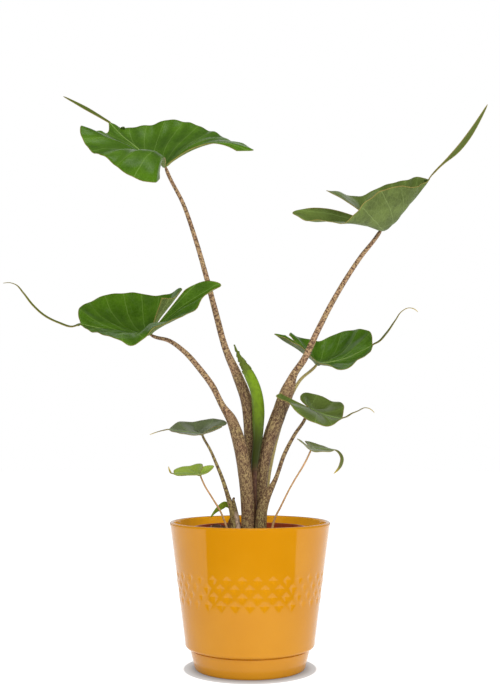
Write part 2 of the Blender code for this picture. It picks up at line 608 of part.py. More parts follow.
def loft(rings, start, end):
    """Triangles over rings of alike points, closed by a point at each end."""
    segments = len(rings[0])
    points = [start] + [p for ring in rings for p in ring] + [end]
    faces = []
    for k in range(segments):
        after = (k + 1) % segments
        faces.append((0, 1 + after, 1 + k))
        for i in range(len(rings) - 1):
            a, b = 1 + i * segments + k, 1 + i * segments + after
            faces += [(a, b, b + segments), (a, b + segments, a + segments)]
        last = 1 + (len(rings) - 1) * segments
        faces.append((last + k, last + after, len(points) - 1))
    return points, faces


def make_corm():
    """The rootstock: an oval, ringed tuber whose flat crown carries the petioles."""
    outline = [(0.35, 0), (0.72, 5 * MM), (0.93, 14 * MM), (1, 27 * MM), (0.97, 30 * MM), (1, 33 * MM)]
    outline += [(0.98, 43 * MM), (0.94, CROWN_Z - CORM_BOTTOM_Z)]
    rings = [corm_ring(scale, CORM_BOTTOM_Z + z, 28) for scale, z in outline]
    centre = (*CORM_CENTRE, CORM_BOTTOM_Z)
    add_solid("corm", *loft(rings, centre, (*CORM_CENTRE, CROWN_Z)), "corm")


def make_soil():
    """Soil that fills the growing pot, a little mounded, with a plain pit for the rootstock."""
    segments = 36
    low = POT_FLOOR + GAP + GROW_WALL + GAP

    def circle(z, inset):
        radius = grow_inner_radius(z) - GAP - inset
        turns = [2 * math.pi * k / segments for k in range(segments)]
        return [(radius * math.cos(a), radius * math.sin(a), z) for a in turns]

    pit_scale = 1 + 0.4 * MM / CORM_HALF[1]
    rings = [circle(low, 2.5 * MM), circle(low + 2.5 * MM, 0), circle(80 * MM, 0), circle(SOIL_TOP - 2 * MM, 0)]
    outer = circle(SOIL_TOP, 0.8 * MM)
    inner = corm_ring(pit_scale, SOIL_TOP, segments)
    for share in (0, 0.25, 0.5, 0.75, 1):
        ring = []
        for k, (a, b) in enumerate(zip(outer, inner)):
            angle = 2 * math.pi * k / segments
            lumps = math.sin(3 * angle + 5 * share) + 0.6 * math.sin(7 * angle - 9 * share)
            rise = SOIL_MOUND * math.sin(math.pi * share) * (0.8 + 0.35 * lumps)
            x, y = (a[i] + (b[i] - a[i]) * share for i in range(2))
            ring.append((x, y, SOIL_TOP + rise))
        rings.append(ring)
    rings.append(corm_ring(pit_scale, CORM_BOTTOM_Z - GAP, segments))
    add_solid("soil", *loft(rings, (0, 0, low), (*CORM_CENTRE, CORM_BOTTOM_Z - GAP)), "soil")


def main():
    clear_objects()
    make_cover_pot()
    make_growing_pot()
    make_soil()
    make_corm()
    make_leaves_and_petioles()
    make_furled_leaf()
    make_young_leaf()


main()
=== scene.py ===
"""A stingray alocasia in its glazed cover pot, with the fine forms and finishes of every part."""

import json
import math
import random

import bpy
import numpy as np
from bpy.props import FloatProperty, FloatVectorProperty, IntProperty, PointerProperty
from mathutils import Matrix, Vector, noise
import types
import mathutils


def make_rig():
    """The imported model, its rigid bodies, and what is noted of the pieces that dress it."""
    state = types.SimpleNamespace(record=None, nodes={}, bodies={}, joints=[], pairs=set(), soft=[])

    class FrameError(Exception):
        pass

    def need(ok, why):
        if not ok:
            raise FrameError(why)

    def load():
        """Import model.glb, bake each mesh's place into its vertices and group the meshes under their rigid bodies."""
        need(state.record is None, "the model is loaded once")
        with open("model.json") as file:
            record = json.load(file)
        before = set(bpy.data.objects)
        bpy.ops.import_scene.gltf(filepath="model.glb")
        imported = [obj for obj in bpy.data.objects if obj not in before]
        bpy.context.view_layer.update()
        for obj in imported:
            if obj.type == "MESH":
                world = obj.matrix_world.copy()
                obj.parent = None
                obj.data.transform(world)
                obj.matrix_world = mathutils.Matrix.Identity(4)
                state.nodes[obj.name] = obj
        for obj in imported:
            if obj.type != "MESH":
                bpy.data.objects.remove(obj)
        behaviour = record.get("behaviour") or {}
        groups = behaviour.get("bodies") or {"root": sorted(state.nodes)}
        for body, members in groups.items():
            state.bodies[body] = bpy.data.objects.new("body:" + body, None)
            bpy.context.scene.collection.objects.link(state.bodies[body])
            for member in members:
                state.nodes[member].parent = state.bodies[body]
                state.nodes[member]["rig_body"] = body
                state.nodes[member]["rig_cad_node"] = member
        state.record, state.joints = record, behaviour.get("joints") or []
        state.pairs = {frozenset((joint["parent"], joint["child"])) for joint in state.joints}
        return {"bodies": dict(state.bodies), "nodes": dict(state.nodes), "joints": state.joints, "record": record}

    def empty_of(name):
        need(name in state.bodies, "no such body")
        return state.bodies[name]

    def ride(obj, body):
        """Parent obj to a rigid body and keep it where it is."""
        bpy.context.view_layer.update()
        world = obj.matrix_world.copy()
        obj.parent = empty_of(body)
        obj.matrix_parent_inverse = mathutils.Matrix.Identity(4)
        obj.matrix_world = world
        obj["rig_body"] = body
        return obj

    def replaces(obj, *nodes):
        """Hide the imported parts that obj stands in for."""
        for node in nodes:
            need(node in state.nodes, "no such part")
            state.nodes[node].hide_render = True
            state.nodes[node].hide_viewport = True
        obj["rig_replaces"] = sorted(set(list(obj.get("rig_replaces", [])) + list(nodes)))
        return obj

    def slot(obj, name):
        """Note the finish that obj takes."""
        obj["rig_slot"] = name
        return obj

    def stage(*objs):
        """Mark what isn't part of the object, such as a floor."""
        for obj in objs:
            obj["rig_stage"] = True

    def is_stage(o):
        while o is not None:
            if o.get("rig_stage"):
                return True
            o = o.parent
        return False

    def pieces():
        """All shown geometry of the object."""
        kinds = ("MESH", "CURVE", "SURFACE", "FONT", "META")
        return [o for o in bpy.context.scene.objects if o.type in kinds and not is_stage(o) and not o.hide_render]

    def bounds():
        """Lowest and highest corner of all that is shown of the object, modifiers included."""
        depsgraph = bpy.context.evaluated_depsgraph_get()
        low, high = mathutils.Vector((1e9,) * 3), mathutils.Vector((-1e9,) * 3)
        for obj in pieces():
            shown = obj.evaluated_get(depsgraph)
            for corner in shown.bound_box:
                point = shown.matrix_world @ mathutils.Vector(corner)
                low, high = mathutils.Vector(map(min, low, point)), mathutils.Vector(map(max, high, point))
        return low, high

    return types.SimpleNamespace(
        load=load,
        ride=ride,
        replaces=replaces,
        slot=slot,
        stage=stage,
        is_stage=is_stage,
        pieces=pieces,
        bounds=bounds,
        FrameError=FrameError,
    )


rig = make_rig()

bl_info = {
    "name": "Potted Stingray Alocasia",
    "version": (1, 0, 0),
    "blender": (4, 5, 0),
    "location": "View3D > Sidebar > Alocasia",
    "description": "Models a stingray alocasia, its soil, its growing pot and its glazed cover pot",
    "category": "Add Mesh",
}

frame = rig.load()
CAD_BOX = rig.bounds()

# Lengths are metres, and points of the leaves and stems are millimetres times MM.
# +Z is up, -Y is the front, and the origin is the centre of the cover pot's underside.
MM = 0.001
ROOT = "root"

# Cover pot
POT_RIM_RADIUS = 90 * MM
POT_HEIGHT = 161 * MM
POT_BODY_LOW_RADIUS = 72.3 * MM
POT_BODY_LOW_Z = 28.5 * MM
POT_STEP_Z = 23 * MM
POT_FOOT_TOP_RADIUS = 66.8 * MM
POT_FOOT_RADIUS = 61.9 * MM
POT_WALL = 5 * MM
POT_FLOOR = 9 * MM
BAND_LOW_Z = 79 * MM
BAND_PITCH = 8.95 * MM
LOZENGE_UP = 5 * MM
LOZENGE_DOWN = 7 * MM
BAND_ROW_STEP = BAND_PITCH / 15
POT_STEPS = 512
SHARP_DEGREES = 32

# A lozenge's half width, as a share of the distance from one column of lozenges to the next
LOZENGE_HALF_WIDTH = 0.66

# The foot's hollow, out to the ring that it stands on: (in from its radius, up) in millimetres
FOOT_RING = [(9, 1.2), (7.5, 0.3), (6.5, 0)]
FOOT_EDGE = 2.5 * MM

# The groove between foot and body: (in from the foot's top, down from the step) in millimetres
FOOT_GROOVE = [(0.7, 4), (0.2, 1.2), (1.1, 0.7), (1.1, 0), (-1, 0)]
BODY_EDGE = 4 * MM
FLOOR_EDGE = 3 * MM

# Growing pot and soil
GROW_LOW_RADIUS = 47 * MM
GROW_TOP_RADIUS = 63.4 * MM
GROW_HEIGHT = 145 * MM
GROW_WALL = 1.3 * MM
GROW_LOW_Z = 9.3 * MM
SOIL_TOP = 147 * MM
SOIL_MOUND = 2.2 * MM
SOIL_CLEARANCE = 0.3 * MM
SOIL_HEAP = 5.5 * MM
SOIL_HEAP_PLACE = (-38 * MM, 28 * MM)
SOIL_HEAP_SPREAD = 16 * MM
SOIL_SEGMENTS = 180
SOIL_RINGS = 34
GRAIN_SIZE = 2.6 * MM
CHIP_SHARP_DEGREES = 40

# Rootstock
CORM_CENTRE = (1 * MM, 3 * MM)
CORM_HALF = (31 * MM, 26.5 * MM)
CORM_BOTTOM_Z = 100 * MM
CROWN_Z = 146 * MM
PIT_SCALE = 1.015
SCAR_DEPTH = 0.012
CROWN_DOME = 1.6 * MM
CORM_RINGS = 40
CROWN_RINGS = 6
CORM_SEGMENTS = 96

# The rootstock's outline: (millimetres up, share of its widest)
CORM_OUTLINE = [(0, 0.35), (5, 0.72), (14, 0.93), (27, 1), (30, 0.97), (33, 1), (43, 0.98), (46, 0.94)]

# Blades are sampled about this far apart, and closer near the midrib.
BLADE_SPACING = 2.5 * MM
COLUMN_GRADING = 1.25
HUB_THICK = 1.2 * MM
TAIL_THICK = 1.0 * MM
TAIL_SIDES = (1, 0.5, 0, -0.5, -1)
VEIN_PITCH = 26 * MM
MIDRIB_GROOVE = 1.1 * MM
MIDRIB_HEIGHT = 0.9 * MM
SIDE_RIB_HEIGHT = 0.35 * MM
BROAD_SWELL = 1.6 * MM

# In millimetres: how far the thick hub reaches, and the length of a blade in full relief
HUB_REACH = 4.5
FULL_LENGTH = 85

# Petioles
TIP_RADIUS = 1.3 * MM
TIP_LENGTH = 6 * MM
BEND_LENGTH = 3.5 * MM
STEM_SPACING = 2.2 * MM
TIP_RINGS = 5
SHEATH_FADE = 22 * MM
CROWN_FLARE = 9 * MM

# Refraction of skin with a sheen, and of whatever is duller
WAXY_IOR = 1.45
DRY_IOR = 1.4

# A blade's veins end at "left", from the sinus to the apex, and at "right", from the apex back
# to the sinus: (x, y, z, bow). The bow is how far the vein's middle stands off a straight line.
# The tail runs on from the apex, with its widths at even steps, and turns to its tail_face where
# it has one.
BLADES = {
    "blade_top_left": {
        "junction": (-97.6, -5, 566.9),
        "left": [(-98, -72, 535, 17), (-103, -86, 527, 22), (-128, -88, 534, 24), (-156, -72, 558, 16),
                 (-181, -45, 577, 8), (-193, -20, 609, 4), (-180, 5, 612, -2), (-169, 28, 618, -3)],
        "apex": (-169, 42, 633, -6),
        "right": [(-153, 50, 630, -6), (-129, 62, 636, -6), (-95, 58, 642, -4), (-60, 40, 628, 3),
                  (-26, 18, 606, 13), (4, 2, 588, 18), (-16, -6, 585, 17)],
        "tail": [(-203, 62, 658), (-233, 80, 679)],
        "tail_widths": [3.5, 4.5, 5, 3.5, 1.2], "tail_face": (0.2, -0.9, 0.4),
    },
    "blade_top_right": {
        "junction": (150.3, -10, 492.6),
        "left": [(91, 33, 548, 6), (110, 41, 547, 2), (134, 47, 544, -4),
                 (155, 45, 555, -8), (170, 35, 557, -8), (184, 21, 558, -6), (198, 7, 557, -4)],
        "apex": (206, -7, 551, -4),
        "right": [(197, -17, 543, -5), (183, -35, 535, -9), (163, -55, 531, -14), (140, -71, 520, -16),
                  (123, -77, 507, -12), (114, -78, 495, -5), (99, -75, 486, 2), (78, -71, 489, 3),
                  (54, -67, 493, 3), (47, -63, 498, 4), (69, -49, 508, 7)],
        "tail": [(209.5, -10, 555.5), (216, -13, 562.5), (238, -19, 584), (270, -29, 632)],
        "tail_widths": [3.5, 1.8, 6.5, 7.4, 5, 1.2], "tail_face": (0.3, -0.6, -0.3),
    },
    "blade_mid_left": {
        "junction": (-114.4, 0, 372.9),
        "left": [(-73, -24, 420, 0), (-47, -32, 429, 3), (-33, -38, 425, 4), (-49, -46, 411, 3),
                 (-66, -52, 390, 2), (-87, -54, 382, 6), (-105, -54, 373, 9), (-115, -54, 363, 11),
                 (-131, -52, 355, 9), (-148, -46, 364, 5), (-171, -28, 371, 2), (-189, -6, 380, 0)],
        "apex": (-195, 4, 385, -4),
        "right": [(-199, 16, 403, -6), (-191, 32, 413, -9), (-169, 48, 425, -11), (-142, 54, 428, -11),
                  (-115, 48, 424, -8), (-97, 40, 424, -3), (-82, 31, 431, 1), (-80, 24, 427, 2),
                  (-91, 7, 415, 1), (-101, -4, 414, 0)],
        "tail": [(-203, 0, 381), (-218, -4, 385), (-234, -8, 393), (-247, -12, 405),
                 (-257, -14, 418), (-265, -16, 427), (-271, -18, 429), (-278, -22, 428)],
        "tail_widths": [3.2, 3.6, 3.4, 3, 2.4, 1.8, 1.3, 1.1], "tail_face": None,
    },
    "blade_mid_right": {
        "junction": (79.1, 40, 341.4),
        "left": [(47, 62, 377, 0), (50, 68, 382, 0), (57, 72, 377, 0), (71, 76, 374, -4),
                 (83, 80, 372, -7), (96, 84, 377, -9), (111, 84, 383, -10), (125, 78, 386, -10),
                 (136, 68, 385, -8), (144, 56, 381, -6), (145, 46, 372, -5)],
        "apex": (145, 40, 364, -6),
        "right": [(142, 32, 357, -6), (131, 18, 348, -4), (120, 10, 340, -2), (109, 4, 333, 0),
                  (98, 0, 333, 2), (87, -2, 337, 3), (73, -2, 344, 2), (62, 2, 355, 0),
                  (48, 8, 366, 0), (28, 16, 374, 2), (42, 24, 374, 3)],
        "tail": [(152.5, 38, 367.5), (161, 34, 377), (171, 30, 392), (178, 28, 402), (186, 26, 406),
                 (191, 24, 405), (196, 22, 401)],
        "tail_widths": [2.8, 4.4, 2.8, 1.4, 1.1, 1.1], "tail_face": None,
    },
    "blade_low_right": {
        "junction": (67.1, 0, 288.4),
        "left": [(58, 12, 298, 0), (58.5, 18, 303, 0), (62.5, 24, 306.5, -1), (73.5, 30, 305.5, -4),
                 (85.5, 32, 302, -6), (96, 29, 297, -6), (105.5, 22, 295, -5), (108, 14, 291, -4),
                 (106.5, 5, 284, -3)],
        "apex": (104, -6, 276.5, -3),
        "right": [(98.5, -16, 273, -1), (90, -26, 268, 1), (80.5, -33, 268, 3), (69, -38, 271.5, 4),
                  (59, -40, 277, 4), (51.5, -40, 283, 3), (43.5, -38, 291.5, 1), (29, -34, 301, 0),
                  (34.5, -28, 303.5, 0)],
        "tail": [(108, -8, 277.5), (114.5, -10, 281.5), (121.5, -12, 284.5), (129, -14, 288),
                 (134, -16, 287), (139, -18, 282.5)],
        "tail_widths": [2.8, 2.4, 1.6, 1.2, 1.1, 1.1], "tail_face": None,
    },
    "blade_low_left": {
        "junction": (-54.3, -3, 258.9),
        "left": [(-40.5, -8, 267, 0), (-31.5, -14, 267.5, 0), (-35.5, -22, 265, 0), (-43, -28, 261.5, 0),
                 (-50, -32, 258.5, 1), (-57, -34, 258, 1), (-66.5, -32, 258, 1), (-76, -24, 259, 0),
                 (-86.5, -11, 261.5, 0)],
        "apex": (-92, 0, 264, -1),
        "right": [(-89.5, 8, 267, -1), (-83, 18, 272.5, -2), (-74.5, 25, 273.5, -3), (-65, 28, 272.5, -4),
                  (-54.5, 28, 275, -3), (-45, 25, 276.5, -2), (-36, 20, 276, 0), (-30, 14, 274, 1),
                  (-26.5, 8, 270.5, 1), (-33, 2, 268, 1)],
        "tail": [(-103, -3, 261.5), (-113, -6, 258)],
        "tail_widths": [2.4, 1.5, 1.2, 1.1], "tail_face": None,
    },
    "blade_small_left": {
        "junction": (-56.3, -4, 213.4),
        "left": [(-53, -4, 222, 0), (-47, -7, 223.5, 0), (-40.5, -11, 223, 0), (-43, -15, 219, 0),
                 (-48.5, -18, 215, 1), (-56.5, -19, 213, 1), (-65, -18, 213.5, 0), (-75, -12, 213, 0),
                 (-81, -6, 212, 0)],
        "apex": (-86, 0, 214, 0),
        "right": [(-86.5, 6, 217.5, -1), (-79, 12, 221.5, -1), (-69, 15, 222, -2), (-61.5, 16, 224.5, -1),
                  (-56.5, 12, 225, 0), (-54, 6, 224, 0), (-54.5, 0, 221.5, 0)],
        "tail": [(-89, -1, 214.5), (-91, -1, 218), (-92, -1, 222)],
        "tail_widths": [2.4, 2, 1.4, 1.1], "tail_face": None,
    },
    "blade_small_right": {
        "junction": (69.4, -2, 242.3),
        "left": [(63, 11, 251, 0), (70.5, 15, 249.5, -1), (82, 13, 245.5, -1),
                 (91, 6, 242.5, 0)],
        "apex": (95.5, -1, 241, 0),
        "right": [(91, -8, 239, 0), (80.5, -15, 239, 1), (72.5, -19, 239, 1), (64.5, -20, 243, 0),
                  (59, -17, 248, 0), (53, -12, 253.5, 0), (56.5, -8, 252, 0), (62, -4, 248, 0)],
        "tail": [(100, -3, 238), (103, -6, 232), (100.5, -8, 222), (94, -9, 214.5)],
        "tail_widths": [2.8, 4, 4.8, 4.4, 2.6, 1.1], "tail_face": (0.6, -0.7, 0.2),
    },
}

# A petiole runs from its blade's junction down to the crown: (x, y, z, radius). Low down the
# radius swells where the petiole wraps the younger ones as a sheath.
PETIOLES = {
    "petiole_top_left": ("blade_top_left", [
        (-97, -5, 565, 2.1), (-76.5, -2, 522, 2.3), (-63.5, 1, 484.5, 2.6), (-50, 4, 438, 3),
        (-39, 6, 396, 3.5), (-27.5, 8, 355, 4), (-14.5, 10, 325.5, 5.8), (-4.3, 11, 298, 6.8),
        (-0.3, 12, 255.5, 6.6), (-2.5, 13, 206.5, 6.2), (-2.5, 13, 146, 6)]),
    "petiole_top_right": ("blade_top_right", [
        (150.5, -10, 491, 2.3), (124.5, -12, 457.5, 2.6), (95, -12, 410.5, 3), (75.5, -11, 373, 3.4),
        (61, -9, 342.5, 3.9), (49.5, -6, 325.5, 4.4), (43.5, -3, 310, 7.4), (32.5, 3, 280.5, 8.2),
        (20.5, 6, 246.5, 7.6), (14, 8, 214.5, 6.9), (12.5, 9, 185, 6.5), (12, 9, 146, 6.3)]),
    "petiole_mid_left": ("blade_mid_left", [
        (-112.5, 0, 372, 2), (-92.5, 0, 365, 2.4), (-74, 0, 351.5, 2.9), (-58, -1, 333.5, 3.3),
        (-43, -3, 313.5, 3.5), (-30.5, -5, 289.5, 3.9), (-21.5, -6, 276, 5.8), (-14, -8, 255.5, 7.1),
        (-5, -9, 207.5, 7.6), (-2.5, -9, 167.5, 7.3), (-2.5, -9, 146, 7.1)]),
    "petiole_mid_right": ("blade_mid_right", [
        (78.5, 40, 339, 1.7), (59.5, 38, 322.5, 1.9), (48, 34, 303.5, 2.3), (35, 30, 269.5, 2.8),
        (23, 27, 223, 3.2), (15, 19.5, 146, 3.4)]),
    "petiole_low_right": ("blade_low_right", [
        (66.5, 1, 286, 1.6), (62.5, 0, 276, 1.8), (50.5, -2, 258, 2), (39, -5, 236.5, 2.3),
        (29, -7, 209, 2.6), (15.5, -8, 181, 5.6), (12.5, -8, 167.5, 6.4), (12.5, -8, 146, 6.2)]),
    "petiole_low_left": ("blade_low_left", [
        (-54.5, -3, 257.5, 1.4), (-45.5, -3, 242, 1.5), (-38.5, -3, 226.5, 1.8), (-30.5, -3, 206.5, 2.2),
        (-25, -3, 189.5, 2.6), (-19.5, -3, 170, 3.6), (-17.5, -3, 146, 3.9)]),
    "petiole_small_left": ("blade_small_left", [
        (-56, -4, 212, 1), (-51.5, -5, 202, 1), (-42.5, -6, 187.5, 1), (-33, -6, 172, 1.1),
        (-23.5, -6, 146, 1.2)]),
    "petiole_small_right": ("blade_small_right", [
        (69, -2, 240.5, 1), (61, -2, 224.5, 1), (50.5, -3, 207.5, 1), (45, -3, 198, 1),
        (33.5, -4, 175.5, 1.1), (29, -4, 167, 1.2), (23.5, -4, 146, 1.4)]),
}

# The kind and the slot of each blade that isn't an ordinary full-grown one
GREENS = {
    # The top right blade's paler grey green is painted sheen.
    "blade_top_right": ("dull", "leaf"),
    "blade_mid_right": ("folded", "leaf"),
    "blade_low_right": ("older", "leaf"),
    "blade_low_left": ("shaded", "leaf_dark"),
    "blade_small_left": ("young", "leaf_light"),
    "blade_small_right": ("pale", "leaf"),
}

# The skin of each petiole that isn't tan
SKINS = {
    "petiole_mid_right": "olive",
    "petiole_low_right": "dusky",
    "petiole_low_left": "banded",
    "petiole_small_left": "orange",
    "petiole_small_right": "orange",
}

# The darker and the lighter tone of each small part
PALE_GRAIN = ((0.5, 0.42, 0.3), (0.85, 0.8, 0.68))
TAIL_COLLAR = ((0.02, 0.045, 0.004), (0.075, 0.125, 0.018))
YOUNG_BLADE = ((0.12, 0.19, 0.007), (0.2, 0.29, 0.014))
YOUNG_STALK = ((0.16, 0.1, 0.05), (0.3, 0.22, 0.1))
BULBIL = ((0.07, 0.03, 0.018), (0.17, 0.09, 0.04))

# The rolled new leaf, from its tip down to the crown: (x, y, z, radius)
FURLED_LEAF = [
    (-18, -4, 360, 0.8), (-14, -5, 350, 1.8), (-8.5, -6, 340, 3.9), (-1, -6, 325.5, 6.6),
    (5, -6, 311.5, 7.3), (8.5, -6, 297, 7.5), (9.8, -6, 283, 7.3), (9.6, -5, 268.5, 6.6),
    (9, -3, 253, 5.5), (7, -1.5, 238, 4.7), (5, -1, 222, 3.8), (4.5, 0, 180.5, 3.6), (4.5, 0, 146, 3.6)]
ROLL_STEP = 0.2
ROLL_TURNS = 0.6

# Chooses the crinkles of the rolled leaf's tip. Unseeded, noise_vector follows the clock.
ROLL_SEED = 1795592276
ROLLED_SHARE = 0.62
ROLL_RINGS = 130
ROLL_SIDES = 84

# The smallest leaf, beside the crown, from its tip down: (x, y, z, half width, half thickness)
YOUNG_LEAF = [
    (-44.5, 5, 165, 0.7, 0.4), (-39, 6.5, 171.5, 2.2, 0.5), (-33.5, 8, 176, 3.6, 0.55),
    (-28, 9.5, 179, 3.7, 0.6), (-23, 10, 175.5, 1.8, 0.9), (-19.5, 10, 163, 1.3, 1.3),
    (-16, 8, 146, 1.6, 1.6)]
YOUNG_RINGS = 60
YOUNG_SIDES = 28
YOUNG_BLADE_RINGS = 42

# The half dry sheath beside the low left petiole, from its top down: (x, y, z, radius)
DRIED_SHEATH = [
    (-19.2, -3, 186.5, 1.6), (-18, -3, 181, 2.7), (-15.6, -4, 170, 3.5), (-13.4, -5, 158, 3.9),
    (-12, -5, 146, 4)]
SHEATH_RINGS = 40
SHEATH_SIDES = 32

# Knobs at the crown: a centre in millimetres, a radius, and how many times taller than wide
KNOBS = {
    "crown_bulbil": ((-23.4, 1, 154.5), 2.3, 3.8),
    "withered_stub": ((-18.3, -3, 186.5), 1.4, 1),
}

# Small crinkled collars where three of the tails begin: (x, y, z, radius)
TAIL_COLLARS = [(-154, 48, 629, 1.9), (203, -6, 550, 1.9), (-197, 3, 383.6, 2)]

# Where a petiole's sheath ends at the top, and the angle of its open fold: 0 is the back,
# a quarter turn the right, half a turn the front.
SHEATHS = {
    "petiole_top_left": (334 * MM, 2.35),
    "petiole_top_right": (319 * MM, 3.9),
    "petiole_mid_left": (285 * MM, 2.2),
    "petiole_low_right": (190 * MM, 3.9),
    "petiole_low_left": (182 * MM, 2.2),
}

# The dark card's near edge: degrees round to the right of the front, and metres from the middle
CARD_EDGE = [
    (-62, 0.25), (-45, 0.255), (-28, 0.262), (0, 0.266), (28, 0.262), (45, 0.258), (66, 0.26)]
CARD_REACH = 2.5
CARD_Z = 2 * MM

# The painted shadow round the foot, a grey disc in the floor's glow: its middle, where it begins to pale, and where
# the white begins
PAINTED_SHADOW_CENTRE_Y = -3 * MM
PAINTED_SHADOW_FADE = (60 * MM, 72 * MM)
PAINTED_SHADOW_EDGE = 75.5 * MM

# Each light's width and height, its place, what it faces, and whether gloss shows it
LIGHTS = {
    "key": ((1.1, 1.4), (-1.1, -1.3, 1.3), (0, 0, 0.3), False),
    "fill": ((0.8, 1.4), (1.5, -0.9, 0.7), (0, 0, 0.3), False),
    "front": ((1.4, 0.7), (0.25, -1.9, 1.15), (0, 0, 0.3), False),
    "top": ((1.0, 0.35), (0, -0.35, 1.8), (0, 0, 0.2), True),
    "back": ((3.0, 1.6), (0, 1.5, 1.0), (0, 0, 0.4), True),
}

# The photograph's view, with its tilt in radians above level
CAMERA_PLACE = (0, -1.145, 0.2568)
CAMERA_TILT = 0.085
CAMERA_LENS = 51.74
CAMERA_SENSOR = 36


class PotLooks(bpy.types.PropertyGroup):
    rows: IntProperty(
        name="Band Rows", description="Rows of lozenges round the pot", default=4, min=0, max=8)
    lozenges: IntProperty(
        name="Lozenges a Row", description="Lozenges in each row of the band", default=32, min=8, max=64)
    recess: FloatProperty(
        name="Recess", description="How deep a lozenge is cut",
        default=1.1 * MM, subtype="DISTANCE", unit="LENGTH")
    glaze: FloatVectorProperty(
        name="Glaze", description="Colour of the glaze",
        default=(0.51, 0.206, 0.001), subtype="COLOR", min=0, max=1)
    thin_glaze: FloatVectorProperty(
        name="Thin Glaze", description="Colour of the glaze where it lies thin",
        default=(0.62, 0.285, 0.01), subtype="COLOR", min=0, max=1)
    pooled_glaze: FloatVectorProperty(
        name="Pooled Glaze", description="Colour of the glaze deep in a lozenge",
        default=(0.6, 0.25, 0.0012), subtype="COLOR", min=0, max=1)
    # Painted light: the inside of the pot takes this brighter colour in place of light that barely reaches its inner
    # wall.
    inner_glaze: FloatVectorProperty(
        name="Inner Glaze", description="Colour of the glaze inside the pot",
        default=(0.95, 0.43, 0.004), subtype="COLOR", min=0, max=1)
    gloss: FloatProperty(
        name="Roughness", description="Roughness of the glaze", default=0.09, subtype="FACTOR", min=0, max=1)
    plastic: FloatVectorProperty(
        name="Growing Pot", description="Colour of the plastic growing pot",
        default=(0.34, 0.045, 0.006), subtype="COLOR", min=0, max=1)


class SoilLooks(bpy.types.PropertyGroup):
    chips: IntProperty(
        name="Bark Chips", description="Pieces of bark on the soil", default=420, min=0, max=2000)
    grains: IntProperty(
        name="Light Grains", description="Pale mineral grains on the soil", default=46, min=0, max=500)
    chip_size: FloatProperty(
        name="Chip Size", description="Length of a large chip",
        default=5.5 * MM, subtype="DISTANCE", unit="LENGTH")
    seed: IntProperty(name="Seed", description="Chooses another scatter of chips", default=11)
    dark: FloatVectorProperty(
        name="Dark Soil", description="Darkest colour of the soil",
        default=(0.05, 0.022, 0.011), subtype="COLOR", min=0, max=1)
    brown: FloatVectorProperty(
        name="Brown Soil", description="Lighter colour of the soil",
        default=(0.17, 0.078, 0.034), subtype="COLOR", min=0, max=1)
    bark: FloatVectorProperty(
        name="Bark", description="Colour of the chips",
        default=(0.2, 0.075, 0.032), subtype="COLOR", min=0, max=1)


class BladeLooks(bpy.types.PropertyGroup):
    thickness: FloatProperty(
        name="Thickness", description="Thickness of a blade at its margin",
        default=0.7 * MM, subtype="DISTANCE", unit="LENGTH")
    quilting: FloatProperty(
        name="Quilting", description="How far a blade swells between its side veins",
        default=1.3 * MM, subtype="DISTANCE", unit="LENGTH")
    ripple: FloatProperty(
        name="Ripple", description="How far a margin waves up and down",
        default=0.9 * MM, subtype="DISTANCE", unit="LENGTH")
    vein: FloatProperty(
        name="Side Vein Width", description="Width of a side vein",
        default=0.9 * MM, subtype="DISTANCE", unit="LENGTH")
    mature_dark: FloatVectorProperty(
        name="Mature, Dark", description="Deepest green of a full-grown blade",
        default=(0.018, 0.052, 0.0018), subtype="COLOR", min=0, max=1)
    mature_light: FloatVectorProperty(
        name="Mature, Light", description="Lightest green of a full-grown blade",
        default=(0.068, 0.152, 0.007), subtype="COLOR", min=0, max=1)
    mature_under: FloatVectorProperty(
        name="Mature, Under", description="Underside of a full-grown blade",
        default=(0.12, 0.165, 0.036), subtype="COLOR", min=0, max=1)
    # Painted sheen: the top right blade's upper face takes this paler grey green in place of the sheen on it; the low
    # right blade takes it as its own greyer green.
    dull: FloatVectorProperty(
        name="Dull", description="Greyish green of the older blades at the right",
        default=(0.105, 0.15, 0.03), subtype="COLOR", min=0, max=1)
    shaded: FloatVectorProperty(
        name="Shaded", description="Bluish green of the low left blade",
        default=(0.13, 0.16, 0.075), subtype="COLOR", min=0, max=1)
    shaded_under: FloatVectorProperty(
        name="Shaded, Under", description="Underside of the low left blade",
        default=(0.15, 0.19, 0.11), subtype="COLOR", min=0, max=1)
    young: FloatVectorProperty(
        name="Young", description="Yellowish green of the youngest blade",
        default=(0.3, 0.41, 0.06), subtype="COLOR", min=0, max=1)
    young_under: FloatVectorProperty(
        name="Young, Under", description="Underside of the youngest blade",
        default=(0.28, 0.4, 0.1), subtype="COLOR", min=0, max=1)
    pale: FloatVectorProperty(
        name="Pale", description="Greyish green of the small right blade",
        default=(0.19, 0.225, 0.085), subtype="COLOR", min=0, max=1)
    pale_under: FloatVectorProperty(
        name="Pale, Under", description="Underside of the small right blade",
        default=(0.25, 0.3, 0.15), subtype="COLOR", min=0, max=1)
    veins: FloatVectorProperty(
        name="Veins", description="Colour of the veins on the upper face",
        default=(0.2, 0.3, 0.075), subtype="COLOR", min=0, max=1)
    margin: FloatVectorProperty(
        name="Margin", description="Colour of the thin line at a blade's edge",
        default=(0.3, 0.2, 0.06), subtype="COLOR", min=0, max=1)
    tail: FloatVectorProperty(
        name="Tail", description="Olive green of a tail",
        default=(0.075, 0.095, 0.017), subtype="COLOR", min=0, max=1)
    spent: FloatVectorProperty(
        name="Spent Tip", description="Colour of a tail that has begun to dry",
        default=(0.5, 0.36, 0.05), subtype="COLOR", min=0, max=1)


